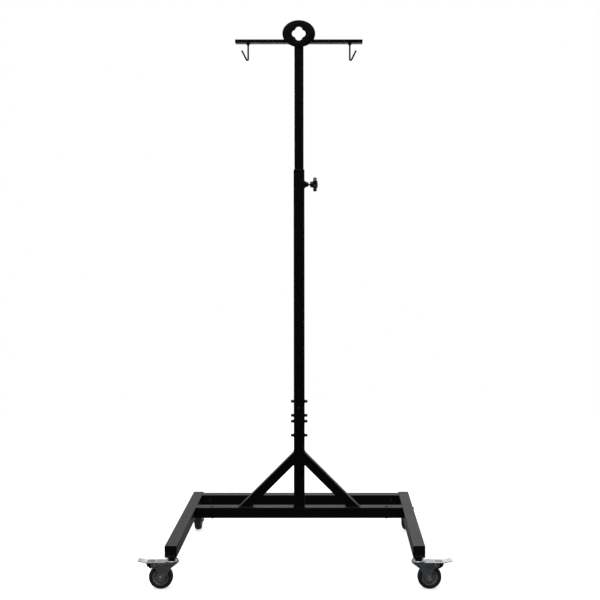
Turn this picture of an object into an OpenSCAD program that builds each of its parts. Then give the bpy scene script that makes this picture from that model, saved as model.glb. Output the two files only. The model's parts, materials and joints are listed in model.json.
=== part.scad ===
// Mobile stand: a square-tube H base on four swivel casters, a spliced post,
// and a telescoping mast that carries a flat crossarm with two hooks.
// Millimetres, +Z up, -Y is the front. The origin is on the floor, at the middle
// of the stand's own box.

/* [Base] */
// Width over the two legs
base_w = 814; // [660:1:980]
// Length of each leg tube
leg_l = 630; // [520:1:760]
// Outside size of the square tube of the base and the post
tube_w = 38; // [31:0.5:46]
// Wall of the square tube
tube_t = 1.5; // [1.2:0.1:2]
// Outside corner radius of the square tube
tube_r = 2.2; // [1.8:0.1:4]
// Clear gap between the two crossbars
bar_gap = 126; // [90:1:160]
// Length of leg behind the rear crossbar
leg_tail = 12; // [4:1:40]
// Outside size of the square brace tube
brace_w = 32; // [24:1:38]
// Height of the brace's upper edge at the post, above the crossbar
brace_rise = 197.5; // [120:0.5:260]
// Length of the stubs that the crossbars slide over
spigot_l = 75; // [60:1:90]

/* [Post] */
// Length of the lower post
lower_post_l = 317; // [250:1:400]
// Length of the upper post
upper_post_l = 885; // [700:1:1060]
// Length of the sleeve inside the splice
sleeve_l = 170; // [150:1:210]
// Wall of the splice sleeve
sleeve_t = 3; // [2:0.5:4]
// Distance of the near and the far splice screws from the splice
splice_screw_z = [10.5, 61];
// Height of the front lock screw above the splice
lock_screw_z = 37; // [25:0.5:45]

/* [Mast] */
// Length of the mast tube
mast_l = 815; // [680:1:990]
// Length of mast that stands out of the post
mast_out = 454.5; // [300:0.5:640]
// Wall of the mast tube
mast_t = 2; // [1.5:0.1:3]
// Outside corner radius of the mast tube
mast_r = 2.5; // [2.2:0.1:3.5]
// Wall of the nylon bush between the post and the mast
bush_t = 1.2; // [1:0.1:1.5]
// Length of the nylon bush
bush_l = 38; // [25:1:42]

/* [Clamp] */
// Distance of the clamp screw below the post's top
clamp_drop = 50; // [47:1:80]
// Diameter of the clamp screw
clamp_screw_d = 8; // [6:1:10]
// Length of the welded boss
boss_l = 14.5; // [10:0.5:17]
// Diameter over the lobes of the star knob
knob_d = 50; // [40:1:60]
// Travel of the clamp screw
clamp_travel = 2.5; // [1:0.5:4]

/* [Head] */
// Length over the two crossarm halves
arm_span = 450; // [370:1:540]
// Thickness of the crossarm bar
arm_h = 11; // [9:0.5:14]
// Height of the crossarm's top above the mast's top
arm_rise = 5; // [0:0.5:6]
// Distance of each hook from the middle
hook_x = 180; // [130:1:180]
// Diameter of the hook wire
hook_d = 6; // [4.6:0.1:7.2]
// Length of each hook below the crossarm
hook_l = 62; // [50:1:75]
// Inside radius of the hook's bend
hook_bend_in = 0.3; // [0.2:0.1:5]
// Angle of the hook's tip from upright
hook_flare = 26.5; // [15:0.5:35]
// Width of the head plate
head_w = 116; // [96:1:140]
// Height of the head plate
head_h = 94; // [78:1:114]
// Thickness of the head plate
head_t = 5; // [4:0.5:6]
// Length of head plate below the crossarm's top
head_lap = 27.5; // [20:0.5:32]
// Radius of each lobe of the head plate's hole
eye_lobe_r = 12.8; // [10:0.1:15.4]
// Distance of each lobe's centre from the middle of the hole
eye_lobe_at = 11.4; // [9:0.1:13]

/* [Casters] */
// Diameter of the wheels
wheel_d = 75; // [62:1:90]
// Width of the tyres
wheel_w = 24; // [20:1:29]
// Distance of the axle behind the swivel stem
trail = 34; // [28:1:41]
// Radius at which the tyre sits on the rim
rim_r = 25; // [20:0.5:28]
// Diameter of the axle bolts
axle_d = 8; // [6:1:10]
// Diameter of the swivel stems
stem_d = 12; // [10:1:14]
// Outward turn of the rear right caster
rear_right_turn = 25; // [0:1:60]
// Angle that each pedal swings down
pedal_press = 9; // [4:1:9]

/* [Hidden] */
$fn = 48;
run_fit = 0.05;      // radial clearance of shafts and pins that turn or slide
slide_gap = 0.3;     // clearance between moving faces
slip_gap = 0.2;      // clearance of tubes that slide into each other and are bolted
eps = 1;             // how far a cut runs past a face

// Heights, from the floor up
axle_z = wheel_d / 2;
crown_gap = 8.5;                            // tyre to the fork's crown plate
sheet_t = 2.5;                              // fork and pedal sheet
crown_z = wheel_d + crown_gap;              // underside of the crown plate
fork_top = crown_z + sheet_t;
cap_h = 6.1;
cap_z = fork_top + 0.4;
stem_nut_h = 10.5;
leg_z = cap_z + cap_h + stem_nut_h;         // underside of the legs
bar_z = leg_z + tube_w / 2;
bar_top = leg_z + tube_w;
split_z = bar_top + lower_post_l;
post_top = split_z + upper_post_l;
mast_top = post_top + mast_out;
mast_z0 = mast_top - mast_l;
clamp_z = post_top - clamp_drop;

// Across and along the base
leg_x = (base_w - tube_w) / 2;
leg_in = base_w / 2 - tube_w;               // inner face of a leg
tube_in = tube_w - 2 * tube_t;
plug_t = 2;
stem_front_in = 20;                         // stem to the leg's front end
stem_rear_in = 40;                          // stem to the leg's rear end
insert_d = stem_d + 10;                     // threaded insert round the stem
leg_back = 2 * tube_w + bar_gap + leg_tail; // rear leg end behind the post's front face
stem_back = leg_back - stem_rear_in;
base_front = leg_back - leg_l - plug_t;
base_back = stem_back + trail + wheel_d / 2;
post_y0 = -(base_front + base_back) / 2;    // front face of the post
post_y = post_y0 + tube_w / 2;
rear_bar_y = post_y + tube_w + bar_gap;
leg_y0 = post_y0 + leg_back - leg_l;
leg_y1 = post_y0 + leg_back;
stem_front_y = leg_y0 + stem_front_in;
stem_rear_y = post_y0 + stem_back;

// Splice and bar bolts
sleeve_w = tube_in - 2 * slip_gap;
m6 = 6;
m6_head_d = 10;
m6_head_h = 6;
m6_washer_d = 12;
m6_washer_t = 2.4;
bolt_slack = 0.25;                          // radial clearance of the M6 holes
front_bolt_in = 57;                         // front bar bolt to the leg
rear_bolt_in = 30;                          // rear bar bolt to the leg
spigot_w = tube_in - 2 * slip_gap;
spigot_t = 2.5;

// Mast and clamp
mast_w = tube_w - 2 * (tube_t + bush_t + slide_gap);
bush_lip = 1.5;
slug_l = clamp_travel + 3.5;               // stays in its hole over the whole travel
screw_gap = 5.5;                            // screw that shows between boss and knob
boss_d = clamp_screw_d + 6.5;               // outer end of the conical boss
boss_root_d = boss_d + 13;                  // end that is welded to the post
hub_d = clamp_screw_d + 14;
hub_l = 11;
knob_t = 13;
knob_dome = 4;
knob_lobes = 6;
slug_x = mast_w / 2 + slide_gap;
screw_x = slug_x + slug_l + 0.1;
boss_x = tube_w / 2 + boss_l;
hub_x = boss_x + screw_gap;
knob_x = hub_x + hub_l;

// Head
arm_d = mast_w;
arm_z = mast_top + arm_rise - arm_h;
arm_l = arm_span / 2 - mast_w / 2;
head_z = mast_top + arm_rise + head_h / 2 - head_lap;
hook_r = hook_d / 2;
hook_bend_r = hook_r + hook_bend_in;
hook_nut_h = 6;
hook_low = arm_z - hook_l;
hook_bend_z = hook_low + hook_r + hook_bend_r;
hook_tip_z = hook_low + 38;

// Caster parts; u runs from the stem towards the wheel, z up
fork_in = wheel_w + 5;
fork_w = fork_in + 2 * sheet_t;
axle_boss_r = axle_d / 2 + 6.5;
axle_boss = [trail - 4, axle_z - 1];        // middle of the cheeks' round lower end
crown_u0 = -22;
crown_u1 = trail + 12;
lip_u = trail + 30;                         // outer end of the fork's cheeks
cheek_z = crown_z - 3.5;
pedal_u0 = crown_u1 + slide_gap + 0.2;
pedal_flat = trail + 45;
pedal_end = trail + 72;
pedal_rise = 5.6;
pedal_pin_d = 4;
pedal_pin_u = trail + 18;
pedal_pin_z = crown_z - 6.5;
pedal_pin = [pedal_pin_u, pedal_pin_z];
pedal_slot = [24, 6];                       // slots that key the brake block into the pedal
pedal_slot_at = 7;
shoe_gap = 0.4;                             // brake block to tyre when the pedal is down
hub_half = fork_in / 2 - 0.8;
nut_t = 4;
ball_d = 3.8;
ball_ring_r = 15;
balls = 12;
cap_d = 43;

CASTERS = [                                 // x, y, turn of each caster
    [-leg_x, stem_front_y, 180],
    [leg_x, stem_front_y, 0],
    [-leg_x, stem_rear_y, 90],
    [leg_x, stem_rear_y, 90 - rear_right_turn]
];
SIDES = [-1, 1];

// ---- Shared shapes ----

// Square with round corners, as true arcs
module round_square(w, r, d = 0) {
    h = d == 0 ? w : d;
    square([w - 2 * r, h], center = true);
    square([w, h - 2 * r], center = true);
    for (sx = SIDES, sy = SIDES)
        translate([sx * (w / 2 - r), sy * (h / 2 - r)]) circle(r);
}

// Square tube along +Z
module tube(l, w, t, r) {
    linear_extrude(l) difference() {
        round_square(w, r);
        round_square(w - 2 * t, max(r - t, 0.6));
    }
}

// Cylinder along X, from x0, at height z
module rod_x(d, x0, l, y, z) {
    translate([x0, y, z]) rotate([0, 90, 0]) cylinder(d = d, h = l);
}

// Cylinder along +Y
module rod_y(d, l) {
    rotate([-90, 0, 0]) cylinder(d = d, h = l);
}

module hex(af, h) {
    cylinder(d = af / cos(30), h = h, $fn = 6);
}

// Dome over a flat base, base on z = 0
module dome(d, h) {
    r = (d * d / 4 + h * h) / (2 * h);
    intersection() {
        translate([0, 0, h - r]) sphere(r, $fn = 64);
        cylinder(d = d + 1, h = h + 1);
    }
}

module at_caster(i) {
    translate([CASTERS[i][0], CASTERS[i][1], 0]) rotate([0, 0, CASTERS[i][2]]) children();
}

// ---- Base ----

module leg(side) {
    color("#101011") difference() {
        translate([side * leg_x, leg_y0, bar_z]) rotate([-90, 0, 0])
            tube(leg_l, tube_w, tube_t, tube_r);
        for (y = [stem_front_y, stem_rear_y])
            translate([side * leg_x, y, leg_z - eps])
                cylinder(d = stem_d + 2 * slip_gap, h = tube_t + 2 * eps);
    }
}

module left_leg() { leg(-1); }
module right_leg() { leg(1); }

// Stubs welded to the legs' inner faces; the crossbars slide over them
module leg_spigots() {
    color("#1a1a1b") for (side = SIDES) {
        difference() {
            spigot(side, post_y);
            bar_bolt_holes_front(side);
        }
        difference() {
            spigot(side, rear_bar_y);
            bar_bolt_holes_rear(side);
        }
    }
}

module spigot(side, y) {
    translate([side > 0 ? leg_in - spigot_l : -leg_in, y, bar_z]) rotate([0, 90, 0])
        tube(spigot_l, spigot_w, spigot_t, tube_r - tube_t);
}

module bar_bolt_holes_front(side) {
    translate([side * (leg_in - front_bolt_in), post_y, leg_z - eps])
        cylinder(d = m6 + 2 * bolt_slack, h = tube_w + 2 * eps);
}

module bar_bolt_holes_rear(side) {
    translate([side * (leg_in - rear_bolt_in), rear_bar_y - tube_w / 2 - eps, bar_z])
        rod_y(m6 + 2 * bolt_slack, tube_w + 2 * eps);
}

module leg_end_plugs() {
    tail = stem_front_in - insert_d / 2 - 1;  // ends short of the insert
    wall = 2;
    inside = tube_in - 2 * slip_gap;
    color("#0b0b0c") for (side = SIDES, end = [[leg_y0, 1], [leg_y1, -1]])
        translate([side * leg_x, end[0], bar_z]) scale([1, end[1], 1]) rotate([-90, 0, 0]) {
            translate([0, 0, -plug_t]) linear_extrude(plug_t) round_square(tube_w, tube_r);
            linear_extrude(tail) difference() {
                round_square(inside, tube_r - tube_t);
                square(inside - 2 * wall, center = true);
            }
        }
}

// Threaded inserts welded inside the legs, which hold the caster stems
module leg_inserts() {
    color("#3a3a3c") for (c = CASTERS)
        translate([c[0], c[1], leg_z + tube_t]) difference() {
            cylinder(d = insert_d, h = 14);
            translate([0, 0, -eps]) cylinder(d = stem_d, h = 14 + 2 * eps);
        }
}

module crossbar(y) {
    translate([-leg_in, y, bar_z]) rotate([0, 90, 0])
        tube(2 * leg_in, tube_w, tube_t, tube_r);
}

module front_crossbar() {
    color("#101011") difference() {
        crossbar(post_y);
        for (side = SIDES) bar_bolt_holes_front(side);
    }
}

module rear_crossbar() {
    color("#101011") difference() {
        crossbar(rear_bar_y);
        for (side = SIDES) bar_bolt_holes_rear(side);
    }
}

// Button-head bolts: down through the front bar, and back through the rear bar
module bar_bolts() {
    color("#2a2a2c") for (side = SIDES) {
        translate([side * (leg_in - front_bolt_in), post_y, bar_top]) bar_bolt();
        translate([side * (leg_in - rear_bolt_in), rear_bar_y - tube_w / 2, bar_z])
            rotate([90, 0, 0]) bar_bolt();
    }
}

module bar_bolt() {
    head_h = 2.2;
    difference() {
        dome(m6_head_d, head_h);
        translate([0, 0, head_h - 1.4]) hex(4, 2);
    }
    translate([0, 0, -tube_w - 5]) cylinder(d = m6, h = tube_w + 5.01);
}

// Dome nuts on the far side of the bar bolts
module bar_nuts() {
    color("#2a2a2c") for (side = SIDES) {
        translate([side * (leg_in - front_bolt_in), post_y, leg_z]) rotate([180, 0, 0]) dome_nut();
        translate([side * (leg_in - rear_bolt_in), rear_bar_y + tube_w / 2, bar_z])
            rotate([-90, 0, 0]) dome_nut();
    }
}

module dome_nut() {
    difference() {
        union() {
            hex(9, 4);
            translate([0, 0, 4]) dome(8.4, 3.2);
        }
        translate([0, 0, -eps]) cylinder(d = m6, h = 5.2 + eps);
    }
}

// ---- Braces and post ----

module brace(side) {
    foot_x = tube_w / 2 + brace_rise;        // outer edge on the crossbar's top
    run = brace_rise * sqrt(2);
    color("#101011") intersection() {
        translate([side * foot_x, post_y, bar_top]) rotate([0, side * -45, 0])
            translate([-side * brace_w / 2, 0, -brace_w])
            tube(run + 2 * brace_w, brace_w, tube_t, tube_r);
        translate([side > 0 ? tube_w / 2 : -base_w / 2, post_y - tube_w, bar_top])
            cube([base_w / 2 - tube_w / 2, 2 * tube_w, lower_post_l]);
    }
}

module left_brace() { brace(-1); }
module right_brace() { brace(1); }

module splice_holes(d, z) {
    for (at = splice_screw_z)
        rod_x(d, -tube_w, 2 * tube_w, post_y, split_z + z * at);
}

module lower_post() {
    color("#101011") difference() {
        translate([0, post_y, bar_top]) tube(lower_post_l, tube_w, tube_t, tube_r);
        splice_holes(m6 + 2 * bolt_slack, -1);
    }
}

module splice_sleeve() {
    color("#3a3a3c") difference() {
        translate([0, post_y, split_z - sleeve_l / 2])
            tube(sleeve_l, sleeve_w, sleeve_t, tube_r - tube_t);
        splice_holes(m6, -1);
        splice_holes(m6, 1);
        translate([0, post_y - tube_w, split_z + lock_screw_z]) rod_y(m6, tube_w);
    }
}

module upper_post() {
    color("#101011") difference() {
        translate([0, post_y, split_z]) tube(upper_post_l, tube_w, tube_t, tube_r);
        splice_holes(m6 + 2 * bolt_slack, 1);
        translate([0, post_y - tube_w, split_z + lock_screw_z])
            rod_y(m6 + 2 * bolt_slack, tube_w);
        rod_x(clamp_screw_d + 2 * run_fit, 0, tube_w, post_y, clamp_z);
    }
}

// Eight socket-head screws, four on each side of the post
module splice_screws() {
    reach = tube_t + slip_gap + sleeve_t + 3;
    under_head = tube_w / 2 + 2 * m6_washer_t;
    color("#141415") for (side = SIDES, half = SIDES, at = splice_screw_z)
        translate([side * under_head, post_y, split_z + half * at]) rotate([0, side * 90, 0]) {
            difference() {
                cylinder(d = m6_head_d, h = m6_head_h);
                translate([0, 0, m6_head_h - 3]) hex(5, 3 + eps);
            }
            translate([0, 0, -2 * m6_washer_t - reach])
                cylinder(d = m6, h = 2 * m6_washer_t + reach + 0.01);
        }
}

// A flat washer and a spring washer under each splice screw
module splice_washers() {
    bore = m6 + 2 * bolt_slack;
    color("#2a2a2c") for (side = SIDES, half = SIDES, at = splice_screw_z)
        translate([side * tube_w / 2, post_y, split_z + half * at]) rotate([0, side * 90, 0])
            difference() {
                union() {
                    cylinder(d = m6_washer_d, h = m6_washer_t);
                    cylinder(d = m6_head_d, h = 2 * m6_washer_t);
                }
                translate([0, 0, -eps]) cylinder(d = bore, h = 2 * m6_washer_t + 2 * eps);
            }
}

module post_lock_screw() {
    head_h = 3.3;
    reach = tube_t + slip_gap + sleeve_t + 2;
    color("#1c1c1e") translate([0, post_y0, split_z + lock_screw_z]) rotate([90, 0, 0]) {
        difference() {
            dome(11, head_h);
            translate([0, 0, head_h - 2]) hex(4, 3);
        }
        translate([0, 0, -reach]) cylinder(d = m6, h = reach + 0.01);
    }
}

// ---- Clamp ----

module clamp_boss() {
    color("#101011") translate([tube_w / 2, post_y, clamp_z]) rotate([0, 90, 0]) difference() {
        cylinder(d1 = boss_root_d, d2 = boss_d, h = boss_l);
        translate([0, 0, -eps])
            cylinder(d = clamp_screw_d + 2 * run_fit, h = boss_l + 2 * eps);
    }
}

// Nylon bush in the post's mouth, with a thin lip on top
module post_bush() {
    bore = mast_w + 2 * slide_gap;
    color("#151516") difference() {
        union() {
            translate([0, post_y, post_top - bush_l]) linear_extrude(bush_l)
                round_square(tube_in, tube_r - tube_t);
            translate([0, post_y, post_top]) linear_extrude(bush_lip)
                round_square(tube_w, tube_r);
        }
        translate([0, post_y, post_top - bush_l - eps]) linear_extrude(bush_l + bush_lip + 2 * eps)
            round_square(bore, mast_r);
    }
}

// Brass slug that the screw pushes against the mast
module clamp_slug() {
    color("#b08d4a") rod_x(clamp_screw_d, slug_x, slug_l, post_y, clamp_z);
}

module clamp_screw() {
    color("#a8abad") rod_x(clamp_screw_d, screw_x, knob_x - screw_x + 6, post_y, clamp_z);
}

module clamp_knob() {
    lobe_r = knob_d * 0.15;
    color("#0d0d0e") difference() {
        union() {
            rod_x(hub_d, hub_x, hub_l, post_y, clamp_z);
            translate([knob_x, post_y, clamp_z]) rotate([0, 90, 0]) {
                linear_extrude(knob_t) difference() {
                    union() {
                        circle(knob_d / 2 - lobe_r * 0.8);
                        for (i = [0 : knob_lobes - 1]) rotate(i * 360 / knob_lobes)
                            translate([knob_d / 2 - lobe_r, 0]) circle(lobe_r);
                    }
                    for (i = [0 : knob_lobes - 1]) rotate((i + 0.5) * 360 / knob_lobes)
                        translate([knob_d / 2 + lobe_r * 0.1, 0]) circle(lobe_r * 0.9);
                }
                translate([0, 0, knob_t]) dome(knob_d * 0.62, knob_dome);
            }
        }
        rod_x(clamp_screw_d, hub_x - eps, hub_l + 6 + eps, post_y, clamp_z);
    }
}

// ---- Mast and head ----

module mast_tube() {
    color("#101011") translate([0, post_y, mast_z0]) tube(mast_l, mast_w, mast_t, mast_r);
}

module mast_foot_plug() {
    inside = mast_w - 2 * mast_t - 2 * slip_gap;
    color("#0b0b0c") translate([0, post_y, mast_z0]) difference() {
        union() {
            translate([0, 0, -4]) linear_extrude(4) round_square(mast_w, mast_r);
            linear_extrude(16) round_square(inside, 1);
        }
        linear_extrude(17) square(inside - 4, center = true);
    }
}

// Cap plug, flush with the mast's top
module mast_top_cap() {
    inside = mast_w - 2 * mast_t;
    color("#101011") translate([0, post_y, mast_top - 3]) linear_extrude(3)
        round_square(inside, max(mast_r - mast_t, 0.6));
}

module arm(side) {
    color("#101011") difference() {
        translate([side > 0 ? mast_w / 2 : -arm_span / 2, post_y - arm_d / 2, arm_z])
            cube([arm_l, arm_d, arm_h]);
        translate([side * hook_x, post_y, arm_z - eps]) cylinder(d = hook_d, h = arm_h + 2 * eps);
    }
}

module left_arm() { arm(-1); }
module right_arm() { arm(1); }

// Oval plate with a four-lobed hole, welded to the fronts of the mast and the arms
module head_plate() {
    steps = 96;
    color("#101011") translate([0, post_y - mast_w / 2, head_z]) rotate([90, 0, 0])
        linear_extrude(head_t) difference() {
            polygon([for (i = [0 : steps - 1])
                [head_w / 2 * cos(i * 360 / steps), head_h / 2 * sin(i * 360 / steps)]]);
            for (i = [0 : 3]) rotate(i * 90) translate([eye_lobe_at, 0]) circle(eye_lobe_r);
        }
}

// Wire hook: a shank that screws into the arm, a tight bend and a flared tip
module hook(side) {
    end_x = hook_bend_r * (1 + cos(hook_flare));
    end_z = hook_bend_z - hook_bend_r * sin(hook_flare);
    tip_l = (hook_tip_z - end_z) / cos(hook_flare) - hook_r;
    joint = 0.3;                             // overlap of the straights with the bend
    swell = 0.06;                            // the wire is a little fuller round the bend
    color("#121213") translate([side * hook_x, post_y, 0]) scale([side, 1, 1]) {
        translate([0, 0, hook_bend_z - joint])
            cylinder(r = hook_r, h = arm_z + arm_h - 1 - hook_bend_z + joint);
        translate([hook_bend_r, 0, hook_bend_z]) rotate([90, 0, 0]) rotate([0, 0, 180])
            rotate_extrude(angle = 180 - hook_flare)
            translate([hook_bend_r, 0]) circle(hook_r + swell);
        translate([end_x, 0, end_z]) rotate([0, hook_flare, 0]) {
            translate([0, 0, -joint]) cylinder(r = hook_r, h = tip_l + joint);
            translate([0, 0, tip_l]) sphere(hook_r);
        }
    }
}

module left_hook() { hook(-1); }
module right_hook() { hook(1); }

module hook_nuts() {
    color("#1c1c1e") for (side = SIDES)
        translate([side * hook_x, post_y, arm_z - hook_nut_h]) difference() {
            union() {
                hex(hook_d + 5, hook_nut_h);
                translate([0, 0, hook_nut_h - 1.4]) cylinder(d = hook_d + 8.5, h = 1.4);
            }
            translate([0, 0, -eps]) cylinder(d = hook_d, h = hook_nut_h + 2 * eps);
        }
}

// ---- Casters ----

// Threaded stem with the rivet head that holds the fork's crown plate
module caster_stems() {
    rivet_h = 2.6;
    color("#8d9092") for (i = [0 : 3]) at_caster(i) {
        translate([0, 0, crown_z - slide_gap - rivet_h])
            cylinder(d = stem_d, h = leg_z + tube_t + 16 - crown_z + slide_gap + rivet_h);
        translate([0, 0, crown_z - slide_gap - rivet_h]) cylinder(d = stem_d + 10, h = rivet_h);
    }
}

module stem_nuts() {
    color("#141415") for (i = [0 : 3]) at_caster(i)
        translate([0, 0, leg_z - stem_nut_h]) difference() {
            union() {
                hex(stem_d + 7, stem_nut_h - 1.5);
                translate([0, 0, stem_nut_h - 1.5]) cylinder(d = stem_d + 11, h = 1.5);
            }
            translate([0, 0, -eps]) cylinder(d = stem_d, h = stem_nut_h + 2 * eps);
        }
}

// Pressed cap over the ball race of each swivel
module swivel_caps() {
    wall = 2;
    color("#c9cbcc") for (i = [0 : 3]) at_caster(i) translate([0, 0, cap_z])
        rotate_extrude() polygon([
            [stem_d / 2, cap_h], [cap_d / 2 - 5, cap_h], [cap_d / 2 - 1, cap_h - 1.6],
            [cap_d / 2, cap_h - 3], [cap_d / 2, 0], [cap_d / 2 - wall, 0],
            [cap_d / 2 - wall, cap_h - wall], [stem_d / 2, cap_h - wall]
        ]);
}

module swivel_balls() {
    color("#b8babb") for (i = [0 : 3], k = [0 : balls - 1]) at_caster(i)
        rotate([0, 0, k * 360 / balls])
        translate([ball_ring_r, 0, cap_z + cap_h - 2 - ball_d / 2]) sphere(d = ball_d);
}

// Point where the line from p touches a circle of radius r at c; s picks the side
function touch(p, c, r, s) = let (
    d = c - p,
    l = norm(d),
    base = atan2(d[1], d[0]),
    reach = sqrt(l * l - r * r),
    turn = s * asin(r / l)
) p + reach * [cos(base + turn), sin(base + turn)];

module cheek_outline() {
    knee = [2, wheel_d - 8];
    low = touch(knee, axle_boss, axle_boss_r, -1);
    front = axle_boss + [axle_boss_r, 0];
    difference() {
        union() {
            polygon([
                [crown_u0 + 2, crown_z + 0.5], knee, low, axle_boss, front,
                [front[0] + 1, wheel_d - 18], [trail + 15, wheel_d - 8], [lip_u, wheel_d - 2],
                [lip_u, cheek_z + 0.5], [crown_u1, cheek_z + 0.5], [crown_u1, crown_z + 0.5]
            ]);
            translate(axle_boss) circle(axle_boss_r);
        }
        translate([trail, axle_z]) circle(axle_d / 2);
    }
}

// Pressed fork: crown plate, two cheeks
module fork(i, brake) {
    corner = 8;
    color(i % 2 == 0 ? "#7d8083" : "#55585b") at_caster(i) difference() {
        union() {
            for (s = SIDES)
                translate([0, s * (fork_w / 2 - sheet_t / 2) + sheet_t / 2, 0])
                    rotate([90, 0, 0]) linear_extrude(sheet_t) cheek_outline();
            translate([(crown_u0 + crown_u1) / 2, 0, crown_z]) linear_extrude(sheet_t)
                intersection() {
                    translate([corner / 2, 0]) round_square(crown_u1 - crown_u0 + corner, corner, fork_w);
                    square([crown_u1 - crown_u0, fork_w], center = true);
                }
        }
        translate([0, 0, crown_z - eps]) cylinder(d = stem_d + 2 * run_fit, h = sheet_t + 2 * eps);
        if (brake)
            translate([pedal_pin_u, -fork_w, pedal_pin_z]) rod_y(pedal_pin_d, 2 * fork_w);
    }
}

module front_left_fork() { fork(0, true); }
module front_right_fork() { fork(1, true); }
module rear_left_fork() { fork(2, false); }
module rear_right_fork() { fork(3, false); }

// Axle bolt with its head and its lock nut
module axle(i) {
    color("#b9bbbc") at_caster(i) translate([trail, -fork_w / 2, axle_z]) rotate([-90, 0, 0]) {
        translate([0, 0, -nut_t]) hex(axle_d + 5, nut_t);
        cylinder(d = axle_d, h = fork_w + nut_t);
        translate([0, 0, fork_w]) difference() {
            hex(axle_d + 5, nut_t);
            translate([0, 0, -eps]) cylinder(d = axle_d, h = nut_t + 2 * eps);
        }
    }
}

module front_left_axle() { axle(0); }
module front_right_axle() { axle(1); }
module rear_left_axle() { axle(2); }
module rear_right_axle() { axle(3); }

// Moulded rim: hub, web and tyre seat
module rim(i) {
    bore_r = axle_d / 2 + run_fit;
    hub_r = axle_d / 2 + 5;
    seat = wheel_w / 2 - 2;
    color("#6c7076") at_caster(i) translate([trail, 0, axle_z]) rotate([90, 0, 0])
        rotate_extrude($fn = 96) polygon([
            [bore_r, -hub_half], [hub_r, -hub_half], [hub_r + 0.8, -4], [rim_r - 4.5, -3],
            [rim_r - 3.5, -seat], [rim_r, -seat], [rim_r, seat], [rim_r - 3.5, seat],
            [rim_r - 4.5, 3], [hub_r + 0.8, 4], [hub_r, hub_half], [bore_r, hub_half]
        ]);
}

module front_left_rim() { rim(0); }
module front_right_rim() { rim(1); }
module rear_left_rim() { rim(2); }
module rear_right_rim() { rim(3); }

// Tyre with a low crown and round shoulders
module tyre(i) {
    r = wheel_d / 2;
    shoulder = 5;
    half = wheel_w / 2;
    color("#17181a") at_caster(i) translate([trail, 0, axle_z]) rotate([90, 0, 0])
        rotate_extrude($fn = 96) difference() {
            union() {
                translate([rim_r, -half]) square([r - shoulder - rim_r, wheel_w]);
                translate([rim_r, shoulder - half]) square([r - rim_r, wheel_w - 2 * shoulder]);
                for (s = SIDES) translate([r - shoulder, s * (half - shoulder)]) circle(shoulder);
            }
            translate([0, -wheel_w]) square([rim_r, 2 * wheel_w]);
        }
}

module front_left_tyre() { tyre(0); }
module front_right_tyre() { tyre(1); }
module rear_left_tyre() { tyre(2); }
module rear_right_tyre() { tyre(3); }

// Brake pedal: a flat plate, a rising tab, and two ears on the pivot pin
module pedal(i) {
    tab_run = pedal_end - pedal_flat;
    tab_a = atan(pedal_rise / tab_run);
    ear_t = 2;
    ear_w = fork_in / 2 - slide_gap;
    color("#d2d4d5") at_caster(i) difference() {
        union() {
            translate([pedal_u0, -fork_w / 2, crown_z])
                cube([pedal_flat - pedal_u0, fork_w, sheet_t]);
            translate([pedal_flat, 0, crown_z + sheet_t]) rotate([0, -tab_a, 0])
                translate([-1, -fork_w / 2 + 2, -sheet_t])
                cube([tab_run / cos(tab_a) + 1, fork_w - 4, sheet_t]);
            for (s = SIDES) translate([pedal_pin_u, s * (ear_w - ear_t / 2) + ear_t / 2, 0])
                rotate([90, 0, 0]) linear_extrude(ear_t) {
                    translate([0, pedal_pin_z]) circle(pedal_pin_d / 2 + 2);
                    translate([-pedal_pin_d / 2 - 1, pedal_pin_z])
                        square([pedal_pin_d + 6, crown_z + 0.5 - pedal_pin_z]);
                }
        }
        translate([pedal_pin_u, -fork_w, pedal_pin_z]) rod_y(pedal_pin_d + 2 * run_fit, 2 * fork_w);
        for (s = SIDES)
            translate([pedal_pin_u - 1, s * pedal_slot_at - pedal_slot[1] / 2, crown_z - eps])
            cube([pedal_slot[0], pedal_slot[1], sheet_t + 2 * eps]);
    }
}

module left_pedal() { pedal(0); }
module right_pedal() { pedal(1); }

// Brake block under the pedal, keyed into its slots. Its face is curved about the
// place that the axle has, seen from the pedal, when the pedal is down.
module brake_shoe(i) {
    width = wheel_w - 3;
    key_gap = 0.1;
    down = pedal_pin + [[cos(pedal_press), -sin(pedal_press)],
                        [sin(pedal_press), cos(pedal_press)]] * ([trail, axle_z] - pedal_pin);
    color("#121213") at_caster(i) {
        translate([0, width / 2, 0]) rotate([90, 0, 0]) linear_extrude(width) difference() {
            polygon([
                [trail + 21, crown_z], [trail + 21, wheel_d - 12], [trail + 33, wheel_d - 9],
                [trail + 43, wheel_d - 1], [pedal_flat - 1, crown_z]
            ]);
            translate(down) circle(wheel_d / 2 + shoe_gap, $fn = 96);
        }
        for (s = SIDES)
            translate([trail + 21, s * pedal_slot_at - pedal_slot[1] / 2 + key_gap, crown_z - 0.01])
            cube([pedal_slot[0] - 4 - key_gap, pedal_slot[1] - 2 * key_gap, sheet_t - 0.2]);
    }
}

module left_brake_shoe() { brake_shoe(0); }
module right_brake_shoe() { brake_shoe(1); }

module pedal_pin(i) {
    stand_out = 0.8;
    color("#9a9c9e") at_caster(i)
        translate([pedal_pin_u, -fork_w / 2 - stand_out, pedal_pin_z])
        rod_y(pedal_pin_d, fork_w + 2 * stand_out);
}

module left_pedal_pin() { pedal_pin(0); }
module right_pedal_pin() { pedal_pin(1); }

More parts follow.
